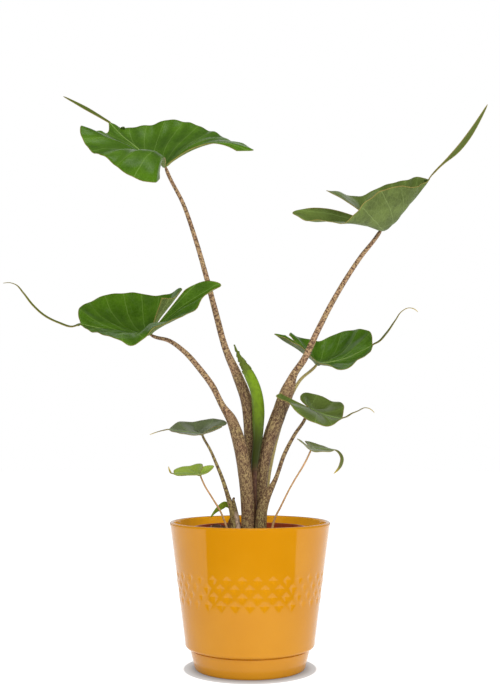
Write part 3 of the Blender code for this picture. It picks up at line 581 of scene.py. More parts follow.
class StemLooks(bpy.types.PropertyGroup):
    skin: FloatVectorProperty(
        name="Skin", description="Ground colour of a petiole",
        default=(0.36, 0.22, 0.125), subtype="COLOR", min=0, max=1)
    sheath: FloatVectorProperty(
        name="Sheath", description="Ground colour of a sheath",
        default=(0.26, 0.17, 0.085), subtype="COLOR", min=0, max=1)
    olive_sheath: FloatVectorProperty(
        name="Olive Sheath", description="Ground colour of the smaller sheaths",
        default=(0.27, 0.215, 0.085), subtype="COLOR", min=0, max=1)
    banded: FloatVectorProperty(
        name="Banded", description="Ground colour of the darkly banded petiole",
        default=(0.3, 0.23, 0.09), subtype="COLOR", min=0, max=1)
    olive: FloatVectorProperty(
        name="Olive", description="Colour of the plain petiole at the back, and a tint on the others",
        default=(0.44, 0.36, 0.14), subtype="COLOR", min=0, max=1)
    orange: FloatVectorProperty(
        name="Orange", description="Colour of the two thinnest petioles",
        default=(0.56, 0.31, 0.14), subtype="COLOR", min=0, max=1)
    mottle: FloatVectorProperty(
        name="Mottle", description="Colour of the dark flecks",
        default=(0.072, 0.032, 0.02), subtype="COLOR", min=0, max=1)
    dried: FloatVectorProperty(
        name="Dried Sheath", description="Colour of the dry part of the torn sheath",
        default=(0.6, 0.45, 0.33), subtype="COLOR", min=0, max=1)
    furled: FloatVectorProperty(
        name="Furled Leaf", description="Bright green of the rolled leaf",
        default=(0.115, 0.19, 0.005), subtype="COLOR", min=0, max=1)


class StudioLooks(bpy.types.PropertyGroup):
    surround: FloatProperty(
        name="Surround", description="Strength of the light from all round", default=0.15, min=0)
    key: FloatProperty(
        name="Key Light", description="Power of the large soft light at the left", default=15, min=0,
        subtype="POWER", unit="POWER")
    fill: FloatProperty(
        name="Fill Light", description="Power of the soft light at the right", default=12, min=0,
        subtype="POWER", unit="POWER")
    front: FloatProperty(
        name="Front Light", description="Power of the soft light above the camera", default=22, min=0,
        subtype="POWER", unit="POWER")
    back: FloatProperty(
        name="Back Light", description="Power of the wide soft light behind the plant", default=12, min=0,
        subtype="POWER", unit="POWER")
    top: FloatProperty(
        name="Top Light", description="Power of the soft light overhead", default=5, min=0,
        subtype="POWER", unit="POWER")


class Wire:
    """A shader socket that Python arithmetic works on: each operation adds a Math node."""

    def __init__(self, finish, socket):
        self.finish = finish
        self.socket = socket

    def maths(self, operation, *values):
        return self.finish.add("ShaderNodeMath", {"operation": operation}, dict(enumerate(values)))

    def __add__(self, other):
        return self.maths("ADD", self, other)

    def __radd__(self, other):
        return self.maths("ADD", other, self)

    def __sub__(self, other):
        return self.maths("SUBTRACT", self, other)

    def __rsub__(self, other):
        return self.maths("SUBTRACT", other, self)

    def __mul__(self, other):
        return self.maths("MULTIPLY", self, other)

    def __rmul__(self, other):
        return self.maths("MULTIPLY", other, self)

    def __truediv__(self, other):
        return self.maths("DIVIDE", self, other)

    def __rtruediv__(self, other):
        return self.maths("DIVIDE", other, self)

    def __abs__(self):
        return self.maths("ABSOLUTE", self)

    def __round__(self):
        return self.maths("ROUND", self)


class Finish:
    """A material being made: its node tree, and the shader that its wires end in."""

    def __init__(self, name, **constants):
        self.material = bpy.data.materials.new(name)
        self.material.use_nodes = True
        self.tree = self.material.node_tree
        self.shader = self.tree.nodes["Principled BSDF"]
        for name, value in constants.items():
            self.socket(name).default_value = value

    def socket(self, name):
        return self.shader.inputs[name.replace("_", " ").title().replace("Ior", "IOR")]

    def add(self, kind, settings=None, sockets=None, output=0):
        """A node with its settings made first, and then its sockets filled or linked."""
        node = self.tree.nodes.new(kind)
        for name, value in (settings or {}).items():
            setattr(node, name, value)
        for name, value in (sockets or {}).items():
            self.fill(node.inputs[name], value)
        return Wire(self, node.outputs[output])

    def fill(self, socket, value):
        if isinstance(value, Wire):
            self.tree.links.new(value.socket, socket)
        elif socket.type == "RGBA":
            socket.default_value = (*value, 1)
        else:
            socket.default_value = value

    def place(self):
        """The point on the piece, in millimetres."""
        return self.scaled(self.add("ShaderNodeTexCoord", output="Object"), (1 / MM, 1 / MM, 1 / MM))

    def attribute(self, name):
        return self.add("ShaderNodeAttribute", {"attribute_name": name}, output="Vector")

    def parts(self, vector):
        first = self.add("ShaderNodeSeparateXYZ", None, {0: vector})
        return [Wire(self, output) for output in first.socket.node.outputs]

    def scaled(self, vector, factors):
        return self.add("ShaderNodeVectorMath", {"operation": "MULTIPLY"}, {0: vector, 1: factors})

    def noise(self, vector, scale, detail=3, roughness=0.5, distortion=0):
        sockets = {"Vector": vector, "Scale": scale, "Detail": detail, "Roughness": roughness,
                   "Distortion": distortion}
        return self.add("ShaderNodeTexNoise", None, sockets)

    def cells(self, vector, scale, feature="F1"):
        sockets = {"Vector": vector, "Scale": scale}
        return self.add("ShaderNodeTexVoronoi", {"feature": feature}, sockets, output="Distance")

    def rise(self, value, low, high, start=0, end=1):
        """A smooth step from start to end as the value goes from low to high."""
        sockets = {"Value": value, "From Min": low, "From Max": high, "To Min": start, "To Max": end}
        return self.add("ShaderNodeMapRange", {"interpolation_type": "SMOOTHSTEP"}, sockets)

    def mix(self, factor, first, second):
        """The first colour where the factor is 0, and the second where it is 1."""
        sockets = {0: factor, 6: first, 7: second}
        return self.add("ShaderNodeMix", {"data_type": "RGBA"}, sockets, output=2)

    def bump(self, height, strength, distance):
        sockets = {"Height": height, "Strength": strength, "Distance": distance}
        return self.add("ShaderNodeBump", None, sockets)

    def finish(self, **wires):
        for name, wire in wires.items():
            self.fill(self.socket(name), wire)
        return self.material


def shade(colour, factor, lift=0):
    """The colour made darker or lighter."""
    return tuple(c * factor + lift for c in colour)


def glaze_finish(looks):
    """A smooth glaze, cloudy in places, that pools in the lozenges, with painted light inside the pot: the inner wall
    takes a brighter colour.
    """
    glaze = Finish("yellow_glaze", ior=1.5, specular_ior_level=0.34)
    place = glaze.place()
    sunk, inside, _ = glaze.parts(glaze.attribute("glaze_relief"))
    cloud = glaze.noise(place, 0.018, 3)
    speck = glaze.noise(place, 1.1, 2)
    colour = glaze.mix(glaze.rise(cloud, 0.35, 0.75) * 0.22, looks.glaze, looks.thin_glaze)
    colour = glaze.mix(sunk * 0.7, colour, looks.pooled_glaze)
    # Painted light: the inner wall is made brighter than the glaze outside.
    colour = glaze.mix(inside, colour, looks.inner_glaze)
    waves = glaze.noise(place, 0.045, 2) + speck * 0.02
    return glaze.finish(
        base_color=colour,
        roughness=looks.gloss + glaze.rise(speck, 0.45, 0.8) * 0.05,
        normal=glaze.bump(waves, 0.12, 0.4 * MM))


def plastic_finish(looks):
    """Moulded plastic with fine scratches round it and a dusting of soil."""
    plastic = Finish("brown_plastic", ior=1.49)
    place = plastic.place()
    rings = plastic.noise(plastic.scaled(place, (0.05, 0.05, 2.2)), 1, 3)
    dust = plastic.rise(plastic.noise(place, 0.12, 4, 0.65), 0.5, 0.72)
    worn = shade(looks.plastic, 1.5, 0.03)
    colour = plastic.mix(rings * 0.5, looks.plastic, worn)
    colour = plastic.mix(dust * 0.45, colour, (0.1, 0.05, 0.03))
    return plastic.finish(
        base_color=colour,
        roughness=0.38 + dust * 0.35,
        normal=plastic.bump(rings, 0.25, 0.15 * MM))


def soil_finish(looks):
    """Damp peat: dark crumbs with paler fibres."""
    soil = Finish("peat_soil", ior=DRY_IOR)
    place = soil.place()
    crumbs = soil.cells(place, 0.55)
    grit = soil.noise(place, 0.9, 6, 0.7)
    fibres = soil.noise(soil.scaled(place, (0.25, 1.6, 0.6)), 1, 4, 0.6, 1.5)
    colour = soil.mix(soil.rise(grit, 0.35, 0.7), looks.dark, looks.brown)
    colour = soil.mix(soil.rise(fibres, 0.6, 0.72) * 0.5, colour, looks.bark)
    return soil.finish(
        base_color=colour,
        roughness=0.82 + grit * 0.15,
        normal=soil.bump(grit * 0.7 + crumbs * 0.5, 0.9, 0.9 * MM))


def chip_finish(name, dark, light):
    """Bark or grain whose tone changes from piece to piece."""
    chip = Finish(name, ior=DRY_IOR)
    place = chip.place()
    tone = chip.parts(chip.attribute("chip_tone"))[0]
    grain = chip.noise(chip.scaled(place, (0.5, 0.5, 1.8)), 1, 5, 0.6)
    colour = chip.mix(tone * 0.7 + grain * 0.45, dark, light)
    return chip.finish(
        base_color=colour, roughness=0.7 + grain * 0.25, normal=chip.bump(grain, 0.7, 0.5 * MM))


def corm_finish():
    """A ringed, fibrous rootstock."""
    corm = Finish("fibrous_rootstock", ior=DRY_IOR)
    place = corm.place()
    rings = corm.noise(corm.scaled(place, (0.06, 0.06, 0.7)), 1, 4)
    fibres = corm.noise(corm.scaled(place, (0.9, 0.9, 0.15)), 1, 4, 0.65)
    colour = corm.mix(corm.rise(rings, 0.35, 0.65), (0.06, 0.028, 0.014), (0.2, 0.115, 0.06))
    colour = corm.mix(corm.rise(fibres, 0.45, 0.7) * 0.6, colour, (0.3, 0.2, 0.12))
    return corm.finish(
        base_color=colour, roughness=0.75 + fibres * 0.2, normal=corm.bump(fibres + rings, 0.8, 0.8 * MM))


def vein_masks(blade, vein_width):
    """Masks over a blade for its midrib, its side veins and the net between them, and its margin."""
    place = blade.attribute("blade_place")
    across, along, share = blade.parts(place)
    phase, spacing, edge = blade.parts(blade.attribute("blade_veins"))
    bent = phase + (blade.noise(place, 0.08, 2) - 0.5) * 0.12
    aside = abs(bent - round(bent)) * spacing
    half = vein_width / MM / 2
    side = blade.rise(aside, half * 0.35, half * 1.5, 1, 0)
    rib_half = blade.rise(along, 0, 110, 1.25, 0.45)
    midrib = blade.rise(abs(across) / rib_half, 0.55, 1.25, 1, 0) * blade.rise(along, -1, 1)
    net = blade.rise(blade.cells(place, 0.19, "DISTANCE_TO_EDGE"), 0.015, 0.11, 1, 0)
    tail = blade.rise(share, 1.0, 1.02)
    line = blade.rise(edge, 0.1, 0.55, 1, 0)
    return {"midrib": midrib * (1 - tail), "side": side * (1 - tail), "net": net * (1 - tail),
            "tail": tail, "line": line, "aside": aside, "share": share}


def edged_and_spent(blade, masks, colour, looks, spent):
    """The colour with the thin line at the margin, and a tail that dries towards its tip."""
    colour = blade.mix(masks["line"] * 0.55, colour, looks.margin)
    return blade.mix(blade.rise(masks["share"], 2 - spent, 2.05) * 0.95, colour, looks.spent)


def blade_upper_finish(name, looks, dark, light, spent):
    """The upper face: glossy, deeper between the veins, with sunken paler veins."""
    blade = Finish(name, ior=WAXY_IOR, specular_ior_level=0.15)
    masks = vein_masks(blade, looks.vein)
    place = blade.attribute("blade_place")
    cloud = blade.noise(place, 0.03, 4, 0.55)
    fleck = blade.noise(place, 0.35, 4, 0.6)
    swell = blade.rise(masks["aside"], 0.5, 9, 0, 1)
    tone = blade.rise(cloud, 0.3, 0.7) * 0.5 + fleck * 0.2 + (1 - swell) * 0.2 + masks["share"] * 0.35 - 0.1
    colour = blade.mix(tone, dark, light)
    colour = blade.mix(masks["net"] * 0.06, colour, looks.veins)
    colour = blade.mix(masks["side"] * 0.3, colour, looks.veins)
    colour = blade.mix(masks["midrib"] * 0.8, colour, looks.veins)
    colour = blade.mix(masks["tail"] * 0.8, colour, looks.tail)
    height = 0.4 - masks["net"] * 0.05 - masks["side"] * 0.4 - masks["midrib"] * 0.6 + fleck * 0.12
    return blade.finish(
        base_color=edged_and_spent(blade, masks, colour, looks, spent),
        roughness=0.24 + fleck * 0.12 + masks["line"] * 0.2,
        normal=blade.bump(height, 0.4, 0.5 * MM))


def blade_under_finish(name, looks, under, spent):
    """The underside: paler and duller, with raised veins and a faint net between them."""
    blade = Finish(name, ior=WAXY_IOR, specular_ior_level=0.18)
    masks = vein_masks(blade, looks.vein * 1.25)
    place = blade.attribute("blade_place")
    cloud = blade.noise(place, 0.035, 4, 0.6)
    fleck = blade.noise(place, 0.4, 4, 0.6)
    deep = shade(under, 0.52)
    pale = shade(under, 1.5, 0.04)
    colour = blade.mix(blade.rise(cloud, 0.36, 0.62) * 0.7 + fleck * 0.3, deep, under)
    colour = blade.mix(masks["net"] * 0.13, colour, pale)
    colour = blade.mix(masks["side"] * 0.4, colour, pale)
    colour = blade.mix(masks["midrib"] * 0.9, colour, pale)
    height = masks["net"] * 0.1 + masks["side"] * 0.5 + masks["midrib"] * 0.5 + fleck * 0.2
    return blade.finish(
        base_color=edged_and_spent(blade, masks, colour, looks, spent),
        roughness=0.46 + fleck * 0.16,
        normal=blade.bump(height, 0.6, 0.5 * MM))


def stem_finish(name, looks, skin, sheath_skin, flecked=0.9):
    """A skin with short dark flecks across it, which turn finer and longer on the sheath."""
    stem = Finish(name, ior=DRY_IOR, specular_ior_level=0.4)
    place = stem.attribute("stem_place")
    sheath = stem.parts(stem.attribute("stem_sheath"))[0]
    bands = stem.noise(stem.scaled(place, (0.36, 0.36, 0.55)), 1, 3, 0.6, 0.6)
    specks = stem.noise(stem.scaled(place, (0.62, 0.62, 0.36)), 1, 2, 0.6, 1)
    fine = stem.noise(place, 1.6, 3, 0.6)
    upper = stem.rise(bands, 0.45, 0.56)
    lower = stem.rise(specks, 0.46, 0.52)
    flecks = upper * (1 - sheath) + lower * sheath
    colour = stem.mix(sheath, skin, sheath_skin)
    colour = stem.mix(stem.rise(stem.noise(place, 0.07, 2), 0.3, 0.7) * 0.35, colour, looks.olive)
    colour = stem.mix(flecks * flecked, colour, looks.mottle)
    colour = stem.mix(stem.rise(fine, 0.5, 0.75) * 0.2, colour, skin)
    return stem.finish(
        base_color=colour,
        roughness=0.48 + fine * 0.2,
        normal=stem.bump(fine * 0.5 + flecks * 0.3, 0.35, 0.3 * MM))


def furled_finish(looks):
    """Fresh green with faint slanting veins, dull at the tip, and a dark flecked stalk below."""
    leaf = Finish("furled_leaf", ior=WAXY_IOR, specular_ior_level=0.4)
    lap, _, share = leaf.parts(leaf.attribute("roll_place"))
    place = leaf.place()
    fleck = leaf.noise(place, 0.35, 4, 0.6)
    slant = leaf.noise(leaf.scaled(leaf.attribute("roll_place"), (9, 0.16, 0)), 1, 2)
    deep = (0.032, 0.042, 0.004)
    bright = shade(looks.furled, 1.25)
    colour = leaf.mix(leaf.rise(share, 0.2, 0.5), bright, looks.furled)
    colour = leaf.mix(leaf.rise(share, 0.34, 0.56), colour, deep)
    colour = leaf.mix(leaf.rise(slant, 0.45, 0.65) * 0.25, colour, deep)
    colour = leaf.mix(leaf.rise(lap, 0, 0.035, 1, 0) * 0.6, colour, deep)
    dry = leaf.rise(share + (fleck - 0.5) * 0.08, 0.13, 0.19, 1, 0)
    colour = leaf.mix(dry * 0.75, colour, (0.075, 0.085, 0.014))
    stalk = leaf.mix(leaf.rise(fleck, 0.42, 0.56), (0.12, 0.06, 0.03), looks.mottle)
    colour = leaf.mix(leaf.rise(share, 0.62, 0.7), colour, stalk)
    return leaf.finish(
        base_color=colour,
        roughness=0.36 + fleck * 0.15 + dry * 0.2,
        normal=leaf.bump(slant * 0.6 + fleck * 0.3, 0.4, 0.5 * MM))


def dried_finish(looks):
    """The torn sheath: olive and flecked above, dry and pale below."""
    sheath = Finish("dried_sheath", ior=DRY_IOR, specular_ior_level=0.2)
    place = sheath.place()
    height = sheath.parts(place)[2]
    streaks = sheath.noise(sheath.scaled(place, (0.7, 0.7, 0.3)), 1, 4, 0.6)
    flecks = sheath.rise(sheath.noise(place, 0.6, 3, 0.6), 0.47, 0.55)
    living = sheath.mix(flecks * 0.9, looks.olive_sheath, looks.mottle)
    dry = sheath.mix(sheath.rise(streaks, 0.4, 0.6), shade(looks.dried, 0.45), looks.dried)
    return sheath.finish(
        base_color=sheath.mix(sheath.rise(height + streaks * 12, 174, 180), dry, living),
        roughness=0.55 + streaks * 0.2,
        normal=sheath.bump(streaks, 0.5, 0.3 * MM))


def plain_leaf_finish(name, dark, light, roughness):
    """A small part's skin: two tones in fine streaks."""
    leaf = Finish(name, ior=WAXY_IOR, specular_ior_level=0.4)
    place = leaf.place()
    streaks = leaf.noise(leaf.scaled(place, (0.8, 0.8, 0.25)), 1, 4, 0.6)
    colour = leaf.mix(leaf.rise(streaks, 0.35, 0.65), dark, light)
    return leaf.finish(
        base_color=colour, roughness=roughness + streaks * 0.15, normal=leaf.bump(streaks, 0.4, 0.3 * MM))


def deselect_all():
    """Every operator acts on what is selected, and the frame's nodes arrive selected."""
    if bpy.context.object and bpy.context.object.mode != "OBJECT":
        bpy.ops.object.mode_set(mode="OBJECT")
    for obj in bpy.context.scene.objects:
        obj.select_set(False)


def add_object(mesh):
    """A new piece that has the mesh and its name, selected alone and active."""
    deselect_all()
    piece = bpy.data.objects.new(mesh.name, mesh)
    bpy.context.scene.collection.objects.link(piece)
    bpy.context.view_layer.objects.active = piece
    piece.select_set(True)
    return piece


def add_mesh(name, points, faces, materials):
    """A new smooth piece from its points and faces."""
    mesh = bpy.data.meshes.new(name)
    mesh.from_pydata([tuple(map(float, p)) for p in points], [], [tuple(map(int, f)) for f in faces])
    mesh.update()
    for material in materials:
        mesh.materials.append(material)
    mesh.shade_smooth()
    return add_object(mesh)


def ball_pattern(subdivisions):
    """The corners and sides of a ball of radius one, to be copied many times."""
    deselect_all()
    bpy.ops.mesh.primitive_ico_sphere_add(subdivisions=subdivisions, radius=1, location=(0, 0, 0))
    ball = bpy.context.object
    corners = np.array([v.co for v in ball.data.vertices])
    sides = [tuple(p.vertices) for p in ball.data.polygons]
    bpy.data.objects.remove(ball, do_unlink=True)
    return corners, sides


def store(piece, name, values):
    """Keeps a number or a vector for each point, which the piece's material reads."""
    values = np.asarray(values, np.float32)
    if values.ndim == 1:
        values = np.column_stack([values, np.zeros((len(values), 2), np.float32)])
    layer = piece.data.attributes.new(name, "FLOAT_VECTOR", "POINT")
    layer.data.foreach_set("vector", values.ravel())


def settle(piece, slot, *nodes):
    """The piece rides on the frame, stands for its nodes and takes its finish from the slot."""
    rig.ride(piece, ROOT)
    if nodes:
        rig.replaces(piece, *nodes)
    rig.slot(piece, slot)


def unit(vector):
    """The vector at length one."""
    vector = np.asarray(vector, float)
    return vector / (np.linalg.norm(vector) + 1e-12)


def smooth_step(values, low, high):
    """From 0 to 1 as the values go from low to high, level at both ends."""
    share = np.clip((np.asarray(values, float) - low) / (high - low), 0, 1)
    return share * share * (3 - 2 * share)


def chord_lengths(points):
    """How far along its path each point lies."""
    steps = np.linalg.norm(np.diff(points, axis=0), axis=1)
    return np.concatenate([[0], np.cumsum(steps)])


def curve_through(stops, values, at):
    """A smooth cubic curve through the values at the stops, read at the places given."""
    stops = np.asarray(stops, float)
    values = np.asarray(values, float)
    flat = values.reshape(len(stops), -1)
    widths = np.diff(stops)[:, None]
    slopes = np.diff(flat, axis=0) / widths
    tangents = np.empty_like(flat)
    tangents[1:-1] = (slopes[:-1] * widths[1:] + slopes[1:] * widths[:-1]) / (widths[:-1] + widths[1:])
    tangents[0] = 1.5 * slopes[0] - 0.5 * tangents[1]
    tangents[-1] = 1.5 * slopes[-1] - 0.5 * tangents[-2]
    at = np.atleast_1d(at)
    span = np.clip(np.searchsorted(stops, at, side="right") - 1, 0, len(stops) - 2)
    width = widths[span]
    t = (at - stops[span])[:, None] / width
    start = (2 * t**3 - 3 * t**2 + 1) * flat[span] + (t**3 - 2 * t**2 + t) * width * tangents[span]
    end = (3 * t**2 - 2 * t**3) * flat[span + 1] + (t**3 - t**2) * width * tangents[span + 1]
    return (start + end).reshape((len(at),) + values.shape[1:])


def evenly_along(points, count):
    """Rows at even steps along a smooth curve through the rows given."""
    points = np.asarray(points, float)
    lengths = chord_lengths(points)
    return curve_through(lengths, points, np.linspace(0, lengths[-1], count))


def spun_shell(name, profile, steps, material):
    """A closed shell: its profile of (radius, z) is spun once round the pot's axis."""
    mesh = bpy.data.meshes.new(name)
    points = [(radius, 0, z) for radius, z in profile]
    mesh.from_pydata(points, [(i, i + 1) for i in range(len(points) - 1)], [])
    piece = add_object(mesh)
    bpy.ops.object.mode_set(mode="EDIT")
    bpy.ops.mesh.select_all(action="SELECT")
    bpy.ops.mesh.spin(steps=steps, angle=2 * math.pi, center=(0, 0, 0), axis=(0, 0, 1))
    bpy.ops.mesh.select_all(action="SELECT")
    bpy.ops.mesh.remove_doubles(threshold=0.005 * MM)
    bpy.ops.mesh.normals_make_consistent(inside=False)
    bpy.ops.object.mode_set(mode="OBJECT")
    mesh.materials.append(material)
    return piece


def round_corner(centre, radius, start, end, steps):
    """Points of (radius, z) on an arc, from one angle in degrees to another."""
    angles = np.radians(np.linspace(start, end, steps + 1))
    return [(centre[0] + radius * math.cos(a), centre[1] + radius * math.sin(a)) for a in angles]


def pot_radius(z):
    """The outer radius of the cover pot's tapered body."""
    slope = (POT_RIM_RADIUS - POT_BODY_LOW_RADIUS) / (POT_HEIGHT - POT_BODY_LOW_Z)
    return POT_BODY_LOW_RADIUS + slope * (z - POT_BODY_LOW_Z)


def lozenge_depth(angle, z, looks):
    """How far a place is cut in, as a share: each lozenge is a shallow four-sided hollow."""
    column = angle / math.pi * looks.lozenges
    depth = 0
    for row in range(looks.rows):
        rise = z - (BAND_LOW_Z + row * BAND_PITCH)
        if not -LOZENGE_DOWN < rise < LOZENGE_UP:
            continue
        nearest = round((column - row) / 2) * 2 + row
        from_middle = rise / LOZENGE_UP if rise > 0 else -rise / LOZENGE_DOWN
        depth = max(depth, 1 - abs(column - nearest) / LOZENGE_HALF_WIDTH - from_middle)
    return depth


def make_cover_pot(looks):
    """The cover pot: a tapered body on a narrower foot, glazed all over, with its sunken band."""
    lip = POT_WALL / 2
    band_low = BAND_LOW_Z - 1.1 * LOZENGE_DOWN
    band_high = BAND_LOW_Z + (looks.rows - 1) * BAND_PITCH + 1.2 * LOZENGE_UP
    first_step = math.ceil((band_low - BAND_LOW_Z) / BAND_ROW_STEP)
    last_step = int((band_high - BAND_LOW_Z) / BAND_ROW_STEP)
    outer_z = [
        *np.linspace(POT_BODY_LOW_Z + 4 * MM, band_low - 2 * MM, 6),
        *(BAND_LOW_Z + step * BAND_ROW_STEP for step in range(first_step, last_step)),
        *np.linspace(band_high + 4 * MM, POT_HEIGHT - 5 * MM, 7)]
    inner_z = np.linspace(POT_HEIGHT - 5 * MM, POT_STEP_Z + 10 * MM, 9)
    inner_low = POT_FOOT_TOP_RADIUS - POT_WALL
    body_corner = (POT_BODY_LOW_RADIUS - BODY_EDGE, POT_BODY_LOW_Z - MM)
    profile = [(0, FOOT_RING[0][1] * MM)]
    profile += [(POT_FOOT_RADIUS - inward * MM, up * MM) for inward, up in FOOT_RING]
    profile += round_corner((POT_FOOT_RADIUS - FOOT_EDGE, FOOT_EDGE), FOOT_EDGE, -90, 0, 8)
    profile += [(POT_FOOT_TOP_RADIUS - inward * MM, POT_STEP_Z - down * MM) for inward, down in FOOT_GROOVE]
    profile += round_corner(body_corner, BODY_EDGE, -72, 0, 10)
    profile += [(pot_radius(z), z) for z in outer_z]
    profile += round_corner((POT_RIM_RADIUS - lip, POT_HEIGHT - lip), lip, 0, 180, 14)
    profile += [(pot_radius(z) - POT_WALL, z) for z in inner_z]
    profile += [(inner_low, POT_FLOOR + 4 * MM)]
    profile += round_corner((inner_low - FLOOR_EDGE, POT_FLOOR + FLOOR_EDGE), FLOOR_EDGE, 0, -90, 5)
    profile += [(inner_low / 2, POT_FLOOR), (0, POT_FLOOR)]
    pot = spun_shell("cover_pot_glazed", profile, POT_STEPS, glaze_finish(looks))
    places = np.empty(len(pot.data.vertices) * 3)
    pot.data.vertices.foreach_get("co", places)
    places = places.reshape(-1, 3)
    relief = np.zeros(len(places))
    for i, (x, y, z) in enumerate(places):
        radius = math.hypot(x, y)
        if band_low < z < band_high and radius > pot_radius(z) - 0.5 * MM:
            relief[i] = lozenge_depth(math.atan2(y, x), z, looks)
            places[i, :2] *= 1 - relief[i] * looks.recess / radius
    pot.data.vertices.foreach_set("co", places.ravel())
    pot.data.update()
    reach = np.hypot(places[:, 0], places[:, 1])
    outside = np.where(places[:, 2] > POT_STEP_Z, pot_radius(places[:, 2]), POT_FOOT_TOP_RADIUS)
    # The points inside the pot, which the glaze paints brighter: painted light.
    inside = (reach < outside - 0.8 * POT_WALL) & (places[:, 2] > POT_FLOOR - MM)
    store(pot, "glaze_relief", np.column_stack([relief, inside, np.zeros(len(relief))]))
    bpy.ops.object.shade_smooth_by_angle(angle=math.radians(SHARP_DEGREES))
    settle(pot, "glaze", "cover_pot")


def grow_inner_radius(z):
    """The inner radius of the growing pot."""
    slope = (GROW_TOP_RADIUS - GROW_LOW_RADIUS) / GROW_HEIGHT
    return GROW_LOW_RADIUS - GROW_WALL + slope * (z - GROW_LOW_Z)


def corm_oval(scale, angle):
    """A point of the rootstock's oval outline."""
    return (CORM_CENTRE[0] + CORM_HALF[0] * scale * math.cos(angle),
            CORM_CENTRE[1] + CORM_HALF[1] * scale * math.sin(angle))


def soil_height(angle, share):
    """The soil's surface: a low mound with broad lumps, from the pot's wall to the rootstock."""
    lumps = math.sin(3 * angle + 5 * share) + 0.6 * math.sin(7 * angle - 9 * share)
    mound = SOIL_MOUND * math.sin(math.pi * share) * (0.8 + 0.35 * lumps)
    return SOIL_TOP + mound


def soil_point(angle, share):
    """A point of the soil's surface, with its crumbs, and a heap at the back left."""
    outer = grow_inner_radius(SOIL_TOP) - SOIL_CLEARANCE
    inner_x, inner_y = corm_oval(PIT_SCALE, angle)
    x = outer * math.cos(angle) * (1 - share) + inner_x * share
    y = outer * math.sin(angle) * (1 - share) + inner_y * share
    place = Vector((x, y, 0)) / MM
    crumbs = noise.noise(place * 0.45) * 1.1 + noise.noise(place * 1.3) * 0.55
    edge = min(1, 12 * share, 14 * (1 - share))
    from_heap = math.dist((x, y), SOIL_HEAP_PLACE) / SOIL_HEAP_SPREAD
    heap = SOIL_HEAP * math.exp(-from_heap**2)
    return x, y, soil_height(angle, share) + (crumbs * MM + heap) * edge


def loft(rings, start, end):
    """Faces over rings of alike points, closed by a point at each end."""
    segments = len(rings[0])
    points = [start] + [p for ring in rings for p in ring] + [end]
    faces = []
    for k in range(segments):
        after = (k + 1) % segments
        faces.append((0, 1 + after, 1 + k))
        for i in range(len(rings) - 1):
            a, b = 1 + i * segments + k, 1 + i * segments + after
            faces.append((a, b, b + segments, a + segments))
        last = 1 + (len(rings) - 1) * segments
        faces.append((last + k, last + after, len(points) - 1))
    return points, faces


def make_soil(looks):
    """The soil: a body that fills the growing pot, and a crumbly top with a pit for the rootstock."""
    angles = [2 * math.pi * k / SOIL_SEGMENTS for k in range(SOIL_SEGMENTS)]
    low = GROW_LOW_Z + GROW_WALL + SOIL_CLEARANCE
    rings = []
    for z, inset in ((low, 2.5 * MM), (low + 2.5 * MM, 0), (80 * MM, 0), (SOIL_TOP - 2 * MM, 0)):
        radius = grow_inner_radius(z) - SOIL_CLEARANCE - inset
        rings.append([(radius * math.cos(a), radius * math.sin(a), z) for a in angles])
    for share in np.linspace(0, 1, SOIL_RINGS):
        rings.append([soil_point(a, share) for a in angles])
    pit_low = CORM_BOTTOM_Z - SOIL_CLEARANCE
    rings.append([(*corm_oval(PIT_SCALE, a), pit_low) for a in angles])
    points, faces = loft(rings, (0, 0, low), (*CORM_CENTRE, pit_low))
    soil = add_mesh("soil_body", points, faces, [soil_finish(looks)])
    settle(soil, "soil", "soil")


def scatter(name, count, size, squash, material, seed):
    """Small pieces strewn over the soil, all in one mesh, each with its own turn, size and tone."""
    corners, sides = ball_pattern(1)
    limit = grow_inner_radius(SOIL_TOP) - SOIL_CLEARANCE
    chance = random.Random(seed)
    points, faces, tones = [], [], []
    for _ in range(count):
        angle = chance.uniform(0, 2 * math.pi)
        share = chance.uniform(0.03, 0.985) ** 1.15
        x, y, z = soil_point(angle, share)
        length = size * chance.uniform(0.25, 1) ** 1.6
        width = length * chance.uniform(0.45, 0.8)
        height = length * squash * chance.uniform(0.6, 1.2)
        half = np.array([length, width, height]) / 2
        rough = np.array([[chance.uniform(0.75, 1.2) for _ in range(3)] for _ in corners])
        heading = Matrix.Rotation(chance.uniform(0, 6.28), 3, "Z")
        tilt = Matrix.Rotation(chance.uniform(-0.5, 0.5), 3, "X")
        shape = (corners * rough * half) @ np.array(heading @ tilt).T
        pull = min(1, limit / (math.hypot(x, y) + length / 2))
        start = len(points)
        points += [(x * pull + p[0], y * pull + p[1], z + half[2] * 0.45 + p[2]) for p in shape]
        faces += [tuple(start + i for i in side) for side in sides]
        tones += [chance.random()] * len(corners)
    piece = add_mesh(name, points, faces, [material])
    bpy.ops.object.shade_smooth_by_angle(angle=math.radians(CHIP_SHARP_DEGREES))
    store(piece, "chip_tone", tones)
    settle(piece, "soil")


